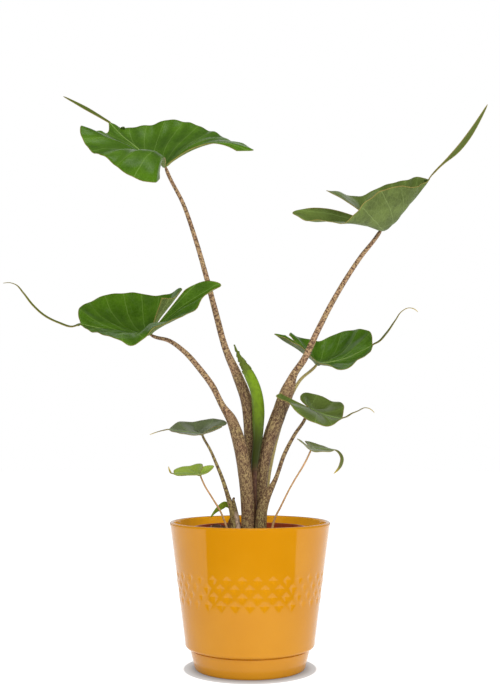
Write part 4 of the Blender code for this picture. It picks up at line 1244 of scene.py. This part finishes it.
def make_corm():
    """The rootstock: an oval tuber ringed by old leaf scars, domed a little between the petioles."""
    heights = np.concatenate([np.linspace(0, 1, CORM_RINGS), np.ones(CROWN_RINGS)])
    angles = np.linspace(0, 2 * math.pi, CORM_SEGMENTS, endpoint=False)
    rings = []
    for i, share in enumerate(heights):
        z = share * (CROWN_Z - CORM_BOTTOM_Z)
        inward = max(0, i + 1 - CORM_RINGS) / (CROWN_RINGS + 1)
        scale = np.interp(z / MM, *zip(*CORM_OUTLINE)) * (1 - inward)
        dome = CROWN_DOME * math.sin(math.pi / 2 * inward)
        ring = []
        for angle in angles:
            scar = SCAR_DEPTH * math.sin(z / MM * 1.35 + 0.8 * math.sin(2 * angle))
            x, y = corm_oval(scale * (1 + scar), angle)
            place = Vector((x, y, z)) / MM
            lump = (noise.noise(place * 0.35) * 0.5 + noise.noise(place * 1.1) * 0.25) * MM
            ring.append((x + lump * 0.6, y + lump * 0.6, CORM_BOTTOM_Z + z + dome + lump))
        rings.append(ring)
    points, faces = loft(rings, (*CORM_CENTRE, CORM_BOTTOM_Z), (*CORM_CENTRE, CROWN_Z + CROWN_DOME))
    corm = add_mesh("rootstock", points, faces, [corm_finish()])
    settle(corm, "corm", "corm")


def blade_normal(junction, ends):
    """The direction that a blade faces on the whole."""
    normal = np.zeros(3)
    for first, second in zip(ends[:-1], ends[1:]):
        normal += np.cross(second - junction, first - junction)
    return unit(normal)


def blade_fan(leaf):
    """A blade's points along its veins, from left sinus to right, and each vein's share of the margin."""
    parts = ("junction", "left", "right", "apex")
    junction, left, right, apex = (np.array(leaf[part]) * MM for part in parts)
    normal = blade_normal(junction, np.vstack([left, apex, right])[:, :3])
    half_tail = leaf["tail_widths"][0] * MM / 2
    sideways = unit(np.cross(normal, apex[:3] - junction)) * half_tail
    rings = int(np.clip(np.linalg.norm(apex[:3] - junction) / BLADE_SPACING, 16, 40))
    share = np.linspace(0, 1, rings + 1)[:, None]

    def vein(end, bow):
        return junction + (end - junction) * share + bow * 4 * share * (1 - share) * normal

    def half(rows):
        """Veins of one half, from the apex out to the sinus."""
        veins = np.array([vein(row[:3], row[3]) for row in rows])
        lengths = chord_lengths(veins[:, -1])
        count = int(np.clip(lengths[-1] / BLADE_SPACING, 30, 90))
        places = lengths[-1] * np.linspace(0, 1, count + 1) ** COLUMN_GRADING
        shares = (places + half_tail) / (lengths[-1] + half_tail)
        return curve_through(lengths, veins, places), shares, lengths[-1]

    left_start = np.append(apex[:3] + sideways, apex[3])
    right_start = np.append(apex[:3] - sideways, apex[3])
    left_veins, left_share, left_length = half(np.vstack([left_start, left[::-1]]))
    right_veins, right_share, right_length = half(np.vstack([right_start, right]))
    middle = [vein(apex[:3] + sideways * side, apex[3]) for side in (0.5, 0, -0.5)]
    veins = np.concatenate([left_veins[::-1], np.array(middle), right_veins])
    near = half_tail / left_length / 2
    margin = np.concatenate([left_share[::-1], [near, 0, near], right_share])
    return veins, margin, len(left_veins) + 1, (left_length + right_length) / 2, normal


def vein_phase(margin, shares, count):
    """Counts the side veins: a whole number on each, from 0 on the midrib.

    The front ones leave the midrib one after another, and the hind ones all leave the junction.
    """
    field = np.linspace(0, 1, 400)
    leave = 0.6 * np.clip(1 - field / 0.5, 0, 1)
    bend = 0.8 * np.clip(1 - field / 0.65, 0, 1)
    phases = np.empty((len(margin), len(shares)))
    for j, share in enumerate(shares):
        opened = np.clip((share - leave) / (1 - leave), 1e-6, 1) ** np.maximum(bend, 1e-3)
        opened = np.where(share > leave, opened, 0)
        reach = np.maximum.accumulate(field * opened)
        phases[:, j] = np.interp(margin, reach + field * 1e-7, field) * (count + 0.5)
    return phases


def per_phase(points, phases):
    """Millimetres over the blade for each step of one in the count of the veins."""
    across = np.gradient(points, axis=0)
    along = np.gradient(points, axis=1)
    change_across, change_along = np.gradient(phases)
    aa = (across**2).sum(-1)
    bb = (along**2).sum(-1)
    ab = (across * along).sum(-1)
    steep = bb * change_across**2 - 2 * ab * change_across * change_along + aa * change_along**2
    steep /= np.maximum(aa * bb - ab**2, 1e-18)
    return np.clip(1 / np.sqrt(np.maximum(steep, 1e-9)) / MM, 0.2, 60)


def fan_frame(veins, middle):
    """The blade laid flat: how far across the midrib and along it each point lies, in millimetres."""
    ends = veins[:, -1] - veins[0, 0]
    ends /= np.linalg.norm(ends, axis=1)[:, None]
    turns = np.arccos(np.clip((ends[:-1] * ends[1:]).sum(1), -1, 1))
    angles = np.concatenate([[0], np.cumsum(turns)])
    angles -= angles[middle]
    steps = np.linalg.norm(np.diff(veins, axis=1), axis=2)
    reach = np.concatenate([np.zeros((len(veins), 1)), np.cumsum(steps, axis=1)], axis=1) / MM
    return reach * np.sin(angles)[:, None], reach * np.cos(angles)[:, None], reach, angles


def grid_normals(points):
    """The direction straight out of a grid of points, at each of them."""
    across = np.gradient(points, axis=0)
    along = np.gradient(points, axis=1)
    normals = np.cross(along, across)
    lengths = np.linalg.norm(normals, axis=2)[..., None]
    return normals / np.maximum(lengths, 1e-12)


def tail_rows(leaf, normal, veins, middle):
    """Rows of five points from the apex to the tail's tip, each a shallow channel."""
    path_stops = np.vstack([veins[middle, -1], np.array(leaf["tail"]) * MM])
    length = chord_lengths(path_stops)[-1]
    count = max(10, int(length / 2 / MM))
    path = evenly_along(path_stops, count + 1)
    share = np.linspace(0, 1, count + 1)
    stops = np.linspace(0, 1, len(leaf["tail_widths"]))
    widths = curve_through(stops, np.array(leaf["tail_widths"]) * MM, share)
    widths *= np.sqrt(np.clip((1 - share) * length / (5 * MM) + 0.06, 0, 1))
    face = unit(leaf["tail_face"]) if leaf["tail_face"] else normal
    coarse = len(leaf["tail"]) * 2 + 2
    rows = [veins[middle - 2:middle + 3, -1]]
    for i in range(1, count + 1):
        along = unit(path[min(i + 1, count)] - path[i - 1])
        turn = min(1, share[i] * coarse / 3)
        across = unit(np.cross(unit((1 - turn) * normal + turn * face), along)) * widths[i] / 2
        raised = unit(np.cross(along, across)) * widths[i] / 7
        rows.append([path[i] + across * side + raised * abs(side) ** 1.5 for side in TAIL_SIDES])
    return np.array(rows), share, length, widths


def make_blade(name, leaf, materials, looks, slot):
    """One blade with its tail: a thin sheet quilted between its veins, with a rounded margin.

    It returns two points under the junction, where the petiole's top starts and where it heads.
    """
    veins, margin, middle, half_length, normal = blade_fan(leaf)
    columns, rings = veins.shape[:2]
    shares = np.linspace(0, 1, rings)
    count = int(np.clip(round(half_length / VEIN_PITCH), 4, 9))
    across, along, reach, angles = fan_frame(veins, middle)
    phases = vein_phase(margin, shares, count)
    spacing = per_phase(veins, phases)
    size = min(1, reach[middle, -1] / FULL_LENGTH)

    # The sheet swells between its veins, sinks along its midrib and waves at its margin.
    highest = np.minimum(looks.quilting * size, spacing * 0.055 * MM)
    swell = np.sin(np.pi * (phases % 1)) ** 0.8 * highest
    swell *= smooth_step(shares, 0.02, 0.3) * (1 - 0.75 * smooth_step(shares, 0.8, 1))
    groove = np.exp(-(across / (3.2 * size + 0.8)) ** 2) * (along > 0) * MIDRIB_GROOVE * size
    groove *= smooth_step(shares, 0.03, 0.15) * (1 - smooth_step(shares, 0.75, 0.98))
    round_margin = chord_lengths(veins[:, -1]) / MM
    seed = sum(leaf["junction"]) % 7
    wave = np.sin(round_margin / 6.1 + seed) + 0.7 * np.sin(round_margin / 3.3 + 2 * seed)
    quiet = smooth_step(np.abs(round_margin - round_margin[middle]), 2, 14)
    ripple = (wave * quiet)[:, None] * smooth_step(shares, 0.7, 1) * looks.ripple * size
    broad = np.array([[noise.noise(Vector((u, v, 31 * seed)) * 0.035) for u, v in zip(us, vs)]
                      for us, vs in zip(across, along)])
    broad *= BROAD_SWELL * size * smooth_step(shares, 0.1, 0.5) * (1 - smooth_step(shares, 0.9, 1))
    sheet = veins + grid_normals(veins) * (swell - groove + ripple + broad)[..., None]

    rows, tail_share, tail_length, widths = tail_rows(leaf, normal, sheet, middle)
    points = [sheet[0, 0]]
    place = [(0, 0, 0)]
    vein = [(0, 0.2, 5)]
    edge_distance = np.minimum((1 - shares) * reach[:, -1:],
                               reach * np.minimum(angles - angles[0], angles[-1] - angles)[:, None])
    aside = np.abs(phases - np.round(phases)) * spacing
    rib = np.exp(-(across / 1.5) ** 2) * (along > 0) * (1 - shares) * MIDRIB_HEIGHT * size
    side_rib = np.exp(-(aside / 1.1) ** 2) * (1 - shares) * SIDE_RIB_HEIGHT * size
    hub = np.exp(-(reach / HUB_REACH) ** 2) * HUB_THICK
    thickness = looks.thickness * (1 + 0.5 * (1 - shares)) / 2
    top_thick, under_thick = [looks.thickness / 2], [looks.thickness / 2 + HUB_THICK]
    index = np.zeros((columns, rings), int)
    for k in range(columns):
        for j in range(1, rings):
            index[k, j] = len(points)
            points.append(sheet[k, j])
            place.append((across[k, j], along[k, j], shares[j]))
            vein.append((phases[k, j], spacing[k, j], edge_distance[k, j]))
            top_thick.append(thickness[j])
            under_thick.append(thickness[j] + rib[k, j] + side_rib[k, j] + hub[k, j])
    faces = [(index[k, 0], index[k + 1, 1], index[k, 1]) for k in range(columns - 1)]
    for k in range(columns - 1):
        for j in range(1, rings - 1):
            faces.append((index[k, j], index[k + 1, j], index[k + 1, j + 1], index[k, j + 1]))
    tail_index = [list(index[middle - 2:middle + 3, -1])]
    for i in range(1, len(rows)):
        tail_index.append([len(points) + n for n in range(5)])
        down_tail = along[middle, -1] + tail_share[i] * tail_length / MM
        half_width = widths[i] / 2 / MM
        thin = TAIL_THICK / 2 * (1 - 0.45 * tail_share[i])
        for n, side in enumerate(TAIL_SIDES):
            points.append(rows[i][n])
            place.append((-side * half_width, down_tail, 1 + tail_share[i]))
            vein.append((0.5, 10, (1 - abs(side)) * half_width))
            top_thick.append(thin)
            under_thick.append(thin)
    for near, far in zip(tail_index[:-1], tail_index[1:]):
        faces += [(near[n], near[n + 1], far[n + 1], far[n]) for n in range(4)]
    outline = [index[0, j] for j in range(rings)]
    outline += [index[k, -1] for k in range(1, middle - 2)]
    outline += [row[0] for row in tail_index]
    outline += tail_index[-1][1:4]
    outline += [row[4] for row in tail_index[::-1]]
    outline += [index[k, -1] for k in range(middle + 3, columns)]
    outline += [index[-1, j] for j in range(rings - 2, 0, -1)]

    points = np.array(points)
    normals = sheet_normals(points, faces)
    piece = close_sheet(name, points, normals, faces, outline, np.array(top_thick), np.array(under_thick),
                        materials)
    for attribute, values in (("blade_place", place), ("blade_veins", vein)):
        values = np.array(values)
        store(piece, attribute, np.vstack([values, values, values[outline]]))
    settle(piece, slot, name.removesuffix("_leaf"))
    tip = veins[0, 0] - normals[0] * (looks.thickness / 2 + 0.5 * MM)
    return np.array([tip, tip - normals[0] * BEND_LENGTH])


def sheet_normals(points, faces):
    """The direction straight out of a sheet of triangles and quads, at each point."""
    normals = np.zeros_like(points)
    for corners in (np.array([f for f in faces if len(f) == size]) for size in (3, 4)):
        if len(corners) == 0:
            continue
        first, second, third, last = (points[corners[:, side]] for side in (0, 1, 2, -1))
        if corners.shape[1] == 3:
            facing = np.cross(second - first, third - first)
        else:
            facing = np.cross(third - first, last - second)
        for side in range(corners.shape[1]):
            np.add.at(normals, corners[:, side], facing)
    return normals / (np.linalg.norm(normals, axis=1)[:, None] + 1e-12)


def close_sheet(name, points, normals, faces, outline, top_thick, under_thick, materials):
    """A sheet given its two faces, each with its own material, and a rounded margin between them."""
    count = len(points)
    top = points + normals * top_thick[:, None]
    under = points - normals * under_thick[:, None]
    tangents = points[np.roll(outline, -1)] - points[np.roll(outline, 1)]
    outward = np.cross(normals[outline], tangents)
    outward /= np.linalg.norm(outward, axis=1)[:, None] + 1e-12
    middle_offset = (top_thick - under_thick)[outline, None] / 2 * normals[outline]
    bulge = (top_thick + under_thick)[outline, None] / 2 * 0.8
    rim = points[outline] + middle_offset + outward * bulge
    solid = [tuple(f) for f in faces] + [tuple(i + count for i in f[::-1]) for f in faces]
    first_rim = 2 * count
    total = len(outline)
    for i in range(total):
        after = (i + 1) % total
        a, b = outline[i], outline[after]
        solid.append((a, b, first_rim + after, first_rim + i))
        solid.append((first_rim + i, first_rim + after, b + count, a + count))
    piece = add_mesh(name, np.vstack([top, under, rim]), solid, materials)
    faces_of_under = np.zeros(len(solid), int)
    faces_of_under[len(faces):2 * len(faces)] = 1
    faces_of_under[2 * len(faces) + 1::2] = 1
    piece.data.polygons.foreach_set("material_index", faces_of_under)
    return piece


def ring_frames(path):
    """An across and an up direction for each point of a path, turned as little as can be."""
    frames = []
    across = np.array([0.0, 1.0, 0.0])
    for i in range(len(path)):
        along = unit(path[min(i + 1, len(path) - 1)] - path[max(i - 1, 0)])
        across = unit(across - along * np.dot(across, along))
        frames.append((across, np.cross(along, across)))
    return frames


def make_tube(name, path, radii, sides, material, flat=None, shape=None):
    """A closed tube on a path: round, or with its own half thickness, or with a shaped ring."""
    flat = radii if flat is None else flat
    points = []
    for i, (across, up) in enumerate(ring_frames(path)):
        for k in range(sides):
            angle = 2 * math.pi * k / sides
            factor = shape(i, angle) if shape else 1
            outward = math.cos(angle) * radii[i] * across + math.sin(angle) * flat[i] * up
            points.append(path[i] + factor * outward)
    faces = []
    for i in range(len(path) - 1):
        for k in range(sides):
            a = i * sides + k
            b = i * sides + (k + 1) % sides
            faces.append((a, b, b + sides, a + sides))
    start, end = len(points), len(points) + 1
    points += [path[0], path[-1]]
    last = (len(path) - 1) * sides
    for k in range(sides):
        faces.append((start, (k + 1) % sides, k))
        faces.append((end, last + k, last + (k + 1) % sides))
    return add_mesh(name, points, faces, [material])


def straightened(path, radii, sides):
    """Where each point of a tube would lie if the tube were straight, in millimetres."""
    along = chord_lengths(path) / MM
    places = []
    for i, s in enumerate(along):
        for k in range(sides):
            angle = 2 * math.pi * k / sides
            places.append((radii[i] / MM * math.cos(angle), radii[i] / MM * math.sin(angle), s))
    return np.array(places + [(0, 0, 0), (0, 0, along[-1])])


def make_petiole(name, stops, bend, material):
    """One petiole, from under its blade's junction down to the crown, with its sheath if it has one."""
    stops = np.array(stops) * MM
    stops[-1, 2] = CROWN_Z
    stops = np.vstack([stops[:1], stops])
    stops[0, :3] = bend[0]
    towards = 0.25 * unit(bend[1] - bend[0]) + 0.75 * unit(stops[2, :3] - bend[0])
    stops[1, :3] = bend[0] + towards * BEND_LENGTH
    lengths = chord_lengths(stops[:, :3])
    rings = int(lengths[-1] / STEM_SPACING)
    in_tip = np.linspace(0, TIP_LENGTH, TIP_RINGS)
    at = np.concatenate([in_tip, np.linspace(TIP_LENGTH, lengths[-1], rings)[1:]])
    path = curve_through(lengths, stops[:, :3], at)
    radii = curve_through(lengths, stops[:, 3], at)
    neck = radii[TIP_RINGS - 1]
    tip_radius = min(TIP_RADIUS, neck)
    widening = (np.minimum(radii, neck) - tip_radius) * np.clip(at / TIP_LENGTH, 0, 1) ** 0.6
    radii = np.where(at <= TIP_LENGTH, tip_radius + widening, radii)
    sides = 36 if radii.max() > 4 * MM else 20
    top, fold = SHEATHS.get(name, (0, 0))
    sheath = smooth_step(top - path[:, 2], 0, SHEATH_FADE) if top else np.zeros(len(path))
    flare = 1 + 0.1 * smooth_step(CROWN_Z + CROWN_FLARE - path[:, 2], 0, CROWN_FLARE)

    def sheathed(i, angle):
        """An open sheath has a fold down one side, with a low lip along it."""
        height = path[i, 2] / MM
        aside = (angle - fold + 0.25 * math.sin(height / 24) + math.pi) % (2 * math.pi) - math.pi
        crease = math.exp(-(aside / 0.13) ** 2)
        lip = math.exp(-((aside - 0.32) / 0.2) ** 2)
        lumps = noise.noise(Vector((math.cos(angle) * 2, math.sin(angle) * 2, height * 0.09 + fold)))
        return flare[i] * (1 + sheath[i] * (0.05 * lip - 0.13 * crease) + 0.035 * lumps)

    piece = make_tube(name + "_stem", path, radii, sides, material, shape=sheathed)
    store(piece, "stem_place", straightened(path, radii, sides))
    store(piece, "stem_sheath", np.append(np.repeat(sheath, sides), [0, sheath[-1]]))
    settle(piece, "petiole", name)


def make_furled_leaf(material):
    """The rolled new leaf: its edge winds over it, and its tip is crinkled."""
    stops = np.array(FURLED_LEAF) * MM
    stops[-1, 2] = CROWN_Z
    rings = evenly_along(stops, ROLL_RINGS)
    share = np.linspace(0, 1, len(rings))
    crinkle = 1 - smooth_step(share, 0.1, 0.2)
    noise.seed_set(ROLL_SEED)
    for i in range(ROLL_RINGS):
        shake = Vector((i * 0.55, 0.3, 0.7))
        offset = noise.noise_vector(shake) * 2.2 * MM * crinkle[i] * min(1, i / 6)
        rings[i, :3] += np.array(offset)

    def rolled(i, angle):
        turn = angle / (2 * math.pi)
        part = share[i]
        opened = math.sin(math.pi * min(1, part / ROLLED_SHARE))
        lap = (turn + ROLL_TURNS * part) % 1
        edge = 1 + 0.05 * math.exp(-(lap / 0.05) ** 2) * opened
        ruffle = noise.noise(Vector((math.cos(angle), math.sin(angle), i * 0.45)) * 1.7)
        frill = 1 + crinkle[i] * 0.5 * ruffle
        return (1 - ROLL_STEP * opened * lap) * edge * frill

    piece = make_tube("furled_leaf_roll", rings[:, :3], rings[:, 3], ROLL_SIDES, material, shape=rolled)
    along = chord_lengths(rings[:, :3]) / MM
    places = []
    for i, part in enumerate(share):
        laps = [(k / ROLL_SIDES + ROLL_TURNS * part) % 1 for k in range(ROLL_SIDES)]
        places += [(lap, along[i], part) for lap in laps]
    store(piece, "roll_place", np.array(places + [(0, 0, 0), (0, along[-1], 1)]))
    settle(piece, "leaf_light", "furled_leaf")


def make_young_leaf(green, skin):
    """The smallest leaf: a small folded blade that nods on a short stalk."""
    stops = np.array(YOUNG_LEAF) * MM
    stops[-1, 2] = CROWN_Z
    rings = evenly_along(stops, YOUNG_RINGS)

    def folded(i, angle):
        return 1 + 0.12 * math.cos(2 * angle) * (1 - i / YOUNG_RINGS)

    piece = make_tube("young_leaf_fold", rings[:, :3], rings[:, 4], YOUNG_SIDES, green,
                      flat=rings[:, 3], shape=folded)
    piece.data.materials.append(skin)
    stalk = [int(face.index // YOUNG_SIDES > YOUNG_BLADE_RINGS) for face in piece.data.polygons]
    piece.data.polygons.foreach_set("material_index", stalk)
    settle(piece, "leaf", "young_leaf")


def make_crown_scraps(dried, dark):
    """The torn sheath beside the low left petiole, a bulbil at the crown and a withered stub."""
    path = evenly_along(np.array(DRIED_SHEATH) * MM, SHEATH_RINGS)

    def torn(i, angle):
        place = Vector((math.cos(angle) * 1.5, math.sin(angle) * 1.5, i * 0.12))
        return 1 + 0.1 * noise.noise(place)

    sheath = make_tube("dried_sheath", path[:, :3], path[:, 3], SHEATH_SIDES, dried,
                       flat=path[:, 3] * 0.7, shape=torn)
    settle(sheath, "petiole")
    for name, (centre, radius, tall) in KNOBS.items():
        centre = Vector(centre) * MM
        deselect_all()
        bpy.ops.mesh.primitive_uv_sphere_add(
            segments=24, ring_count=14, radius=radius * MM, location=centre)
        knob = bpy.context.object
        knob.name = name
        bpy.ops.object.transform_apply(location=True, rotation=True, scale=True)
        for vertex in knob.data.vertices:
            swell = noise.noise(vertex.co / MM * 0.6) * 0.35
            offset = (vertex.co - centre) * (1 + swell)
            offset.z *= tall
            vertex.co = centre + offset
        knob.data.materials.append(dark)
        knob.data.shade_smooth()
        settle(knob, "corm")


def make_tail_collars(material):
    """The crinkled collars at the feet of three tails, all in one mesh."""
    corners, sides = ball_pattern(4)
    crinkle = np.array([1 + 0.45 * noise.noise(Vector(c) * 1.9) for c in corners])[:, None]
    points, faces = [], []
    for *centre, radius in TAIL_COLLARS:
        start = len(points)
        points += list((corners * crinkle * (1.2, 1, 0.7) * radius + centre) * MM)
        faces += [tuple(start + i for i in side) for side in sides]
    settle(add_mesh("tail_collars", points, faces, [material]), "leaf_dark")


class ALOCASIA_OT_cover_pot(bpy.types.Operator):
    """Model the glazed cover pot with its band of sunken lozenges"""
    bl_idname = "alocasia.cover_pot"
    bl_label = "Cover Pot"

    def execute(self, context):
        make_cover_pot(context.scene.alocasia_pot)
        return {"FINISHED"}


class ALOCASIA_OT_growing_pot(bpy.types.Operator):
    """Give the plastic growing pot its finish"""
    bl_idname = "alocasia.growing_pot"
    bl_label = "Growing Pot"

    def execute(self, context):
        pot = frame["nodes"]["growing_pot"]
        pot.data.materials.clear()
        pot.data.materials.append(plastic_finish(context.scene.alocasia_pot))
        return {"FINISHED"}


class ALOCASIA_OT_soil(bpy.types.Operator):
    """Fill the growing pot with soil, and strew bark and pale grains over it"""
    bl_idname = "alocasia.soil"
    bl_label = "Soil"

    def execute(self, context):
        looks = context.scene.alocasia_soil
        make_soil(looks)
        bark = chip_finish("bark_chip", shade(looks.bark, 0.25), looks.bark)
        pale = chip_finish("pale_grain", *PALE_GRAIN)
        scatter("bark_chips", looks.chips, looks.chip_size, 0.45, bark, looks.seed)
        scatter("pale_grains", looks.grains, GRAIN_SIZE, 0.9, pale, looks.seed + 1)
        return {"FINISHED"}


class ALOCASIA_OT_rootstock(bpy.types.Operator):
    """Model the rootstock that carries the petioles"""
    bl_idname = "alocasia.rootstock"
    bl_label = "Rootstock"

    def execute(self, context):
        make_corm()
        return {"FINISHED"}


class ALOCASIA_OT_leaves(bpy.types.Operator):
    """Model the eight blades with their tails and collars, and the petiole under each"""
    bl_idname = "alocasia.leaves"
    bl_label = "Blades and Petioles"

    def execute(self, context):
        looks = context.scene.alocasia_blades
        stems = context.scene.alocasia_stems
        greens = {
            "mature": (looks.mature_dark, looks.mature_light, looks.mature_under, 0.02),
            "folded": (looks.mature_dark, looks.mature_light, looks.mature_under, 0.45),
            # Painted sheen: the dull kind's paler grey green, on the top right blade.
            "dull": (shade(looks.dull, 0.5), looks.dull, looks.mature_under, 0.02),
            "older": (shade(looks.dull, 0.45), looks.dull, looks.mature_under, 0.45),
            "shaded": (shade(looks.shaded, 0.6), looks.shaded, looks.shaded_under, 0.5),
            "young": (shade(looks.young, 0.8), looks.young, looks.young_under, 0.9),
            "pale": (shade(looks.pale, 0.7), looks.pale, looks.pale_under, 0.35),
        }
        faces = {}
        for green, (dark, light, under, spent) in greens.items():
            faces[green] = [blade_upper_finish(f"{green}_blade", looks, dark, light, spent),
                            blade_under_finish(f"{green}_underside", looks, under, spent)]
        bends = {}
        for name, leaf in BLADES.items():
            green, slot = GREENS.get(name, ("mature", "leaf"))
            bends[name] = make_blade(name + "_leaf", leaf, faces[green], looks, slot)
        skins = {
            "tan": stem_finish("tan_petiole", stems, stems.skin, stems.sheath),
            "dusky": stem_finish("dusky_petiole", stems, stems.sheath, stems.olive_sheath),
            "banded": stem_finish("banded_petiole", stems, stems.banded, stems.olive_sheath),
            "olive": stem_finish("olive_petiole", stems, stems.olive, stems.olive, flecked=0.3),
            "orange": stem_finish("orange_petiole", stems, stems.orange, stems.orange, flecked=0.3),
        }
        for name, (blade, stops) in PETIOLES.items():
            make_petiole(name, stops, bends[blade], skins[SKINS.get(name, "tan")])
        make_tail_collars(plain_leaf_finish("tail_collar", *TAIL_COLLAR, 0.5))
        return {"FINISHED"}


class ALOCASIA_OT_new_leaves(bpy.types.Operator):
    """Model the rolled new leaf, the smallest leaf and what is left of old ones"""
    bl_idname = "alocasia.new_leaves"
    bl_label = "New Leaves"

    def execute(self, context):
        stems = context.scene.alocasia_stems
        make_furled_leaf(furled_finish(stems))
        green = plain_leaf_finish("young_leaf", *YOUNG_BLADE, 0.38)
        skin = plain_leaf_finish("young_stalk", *YOUNG_STALK, 0.5)
        make_young_leaf(green, skin)
        dark = plain_leaf_finish("bulbil", *BULBIL, 0.45)
        make_crown_scraps(dried_finish(stems), dark)
        return {"FINISHED"}


class ALOCASIA_OT_stage(bpy.types.Operator):
    """Set the pale floor, the soft lights and the camera"""
    bl_idname = "alocasia.stage"
    bl_label = "Stage"

    def execute(self, context):
        make_floor()
        make_lights(context.scene.alocasia_studio)
        make_camera()
        return {"FINISHED"}


class ALOCASIA_PT_panel(bpy.types.Panel):
    """Lists the pieces in the order in which they are made, and what can be changed"""
    bl_idname = "ALOCASIA_PT_panel"
    bl_label = "Potted Alocasia"
    bl_space_type = "VIEW_3D"
    bl_region_type = "UI"
    bl_category = "Alocasia"

    def draw(self, context):
        for looks_name in GROUPS:
            box = self.layout.box()
            looks = getattr(context.scene, looks_name)
            for prop in looks.bl_rna.properties:
                if prop.identifier not in ("rna_type", "name"):
                    box.prop(looks, prop.identifier)
        for operator in OPERATORS:
            self.layout.operator(operator.bl_idname)


GROUPS = {
    "alocasia_pot": PotLooks,
    "alocasia_soil": SoilLooks,
    "alocasia_blades": BladeLooks,
    "alocasia_stems": StemLooks,
    "alocasia_studio": StudioLooks,
}
OPERATORS = (
    ALOCASIA_OT_cover_pot,
    ALOCASIA_OT_growing_pot,
    ALOCASIA_OT_soil,
    ALOCASIA_OT_rootstock,
    ALOCASIA_OT_leaves,
    ALOCASIA_OT_new_leaves,
    ALOCASIA_OT_stage,
)


def make_floor():
    """A plain white floor with a painted shadow under the pot, a grey disc in its glow, and a dark card that only
    gloss sees.

    The card starts a little way in front of the pot, and the glaze mirrors it.
    """
    deselect_all()
    bpy.ops.mesh.primitive_plane_add(size=12)
    floor = bpy.context.object
    floor.name = "studio_floor"
    paper = Finish("white_paper", roughness=0.9, emission_strength=1)
    place = paper.add("ShaderNodeTexCoord", output="Object")
    sockets = {0: place, 1: (0, PAINTED_SHADOW_CENTRE_Y, 0)}
    away = paper.add("ShaderNodeVectorMath", {"operation": "DISTANCE"}, sockets, output="Value")
    # Painted shadow: the floor's glow is dimmed to grey in a disc round the foot.
    glow_with_painted_shadow = paper.mix(paper.rise(away, *PAINTED_SHADOW_FADE), (0.12, 0.12, 0.12), (0.32, 0.33, 0.34))
    glow_with_painted_shadow = paper.mix(paper.rise(away, PAINTED_SHADOW_FADE[1], PAINTED_SHADOW_EDGE), glow_with_painted_shadow, (1, 1, 1))
    floor.data.materials.append(paper.finish(base_color=(0.36, 0.36, 0.36), emission_color=glow_with_painted_shadow))
    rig.stage(floor)
    points = []
    for degrees, near in CARD_EDGE:
        turn = math.radians(degrees)
        points += [(reach * math.sin(turn), -reach * math.cos(turn), CARD_Z) for reach in (near, CARD_REACH)]
    faces = [(2 * i, 2 * i + 1, 2 * i + 3, 2 * i + 2) for i in range(len(CARD_EDGE) - 1)]
    black = Finish("black_card", roughness=0.9)
    card = add_mesh("dark_card", points, faces, [black.finish(base_color=(0.02, 0.018, 0.016))])
    card.visible_camera = False
    card.visible_diffuse = False
    card.visible_shadow = False
    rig.stage(card)


def add_area_light(name, power, size, place, aim, gloss):
    """A soft light that faces its aim and that the camera doesn't see."""
    light = bpy.data.lights.new(name, "AREA")
    light.shape = "RECTANGLE"
    light.size, light.size_y = size
    light.energy = power
    lamp = bpy.data.objects.new(name, light)
    bpy.context.scene.collection.objects.link(lamp)
    lamp.location = place
    lamp.visible_camera = False
    lamp.visible_glossy = gloss
    lamp.rotation_euler = (Vector(aim) - Vector(place)).to_track_quat("-Z", "Y").to_euler()


def make_lights(looks):
    """A surround that looks white and lights dimly, and the soft lights."""
    world = bpy.data.worlds.new("white_studio")
    bpy.context.scene.world = world
    world.use_nodes = True
    nodes, links = world.node_tree.nodes, world.node_tree.links
    background = nodes["Background"]
    background.inputs["Color"].default_value = (1, 1, 1, 1)
    path = nodes.new("ShaderNodeLightPath")
    strength = nodes.new("ShaderNodeMapRange")
    links.new(path.outputs["Is Camera Ray"], strength.inputs["Value"])
    strength.inputs["To Min"].default_value = looks.surround
    strength.inputs["To Max"].default_value = 1
    links.new(strength.outputs[0], background.inputs["Strength"])
    for name, (size, place, aim, gloss) in LIGHTS.items():
        add_area_light(name, getattr(looks, name), size, place, aim, gloss)
    bpy.context.scene.view_settings.view_transform = "Standard"


def make_camera():
    """The photograph's view: from a little over a metre away, a little below the plant's middle."""
    camera = bpy.data.cameras.new("camera")
    camera.lens = CAMERA_LENS
    camera.sensor_width = CAMERA_SENSOR
    viewer = bpy.data.objects.new("camera", camera)
    bpy.context.scene.collection.objects.link(viewer)
    viewer.location = CAMERA_PLACE
    viewer.rotation_euler = (math.pi / 2 + CAMERA_TILT, 0, 0)
    bpy.context.scene.camera = viewer


def register():
    for group in GROUPS.values():
        bpy.utils.register_class(group)
    for cls in (*OPERATORS, ALOCASIA_PT_panel):
        bpy.utils.register_class(cls)
    for name, group in GROUPS.items():
        setattr(bpy.types.Scene, name, PointerProperty(type=group))


def unregister():
    for name in GROUPS:
        delattr(bpy.types.Scene, name)
    for cls in (ALOCASIA_PT_panel, *reversed(OPERATORS), *GROUPS.values()):
        bpy.utils.unregister_class(cls)


def main():
    register()
    deselect_all()
    bpy.ops.alocasia.cover_pot()
    bpy.ops.alocasia.growing_pot()
    bpy.ops.alocasia.soil()
    bpy.ops.alocasia.rootstock()
    bpy.ops.alocasia.leaves()
    bpy.ops.alocasia.new_leaves()
    bpy.ops.alocasia.stage()
    boxes = {"cad": [list(corner) for corner in CAD_BOX], "visual": [list(corner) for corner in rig.bounds()]}
    with open("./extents.json", "w") as file:
        json.dump(boxes, file)


if __name__ == "__main__":
    main()
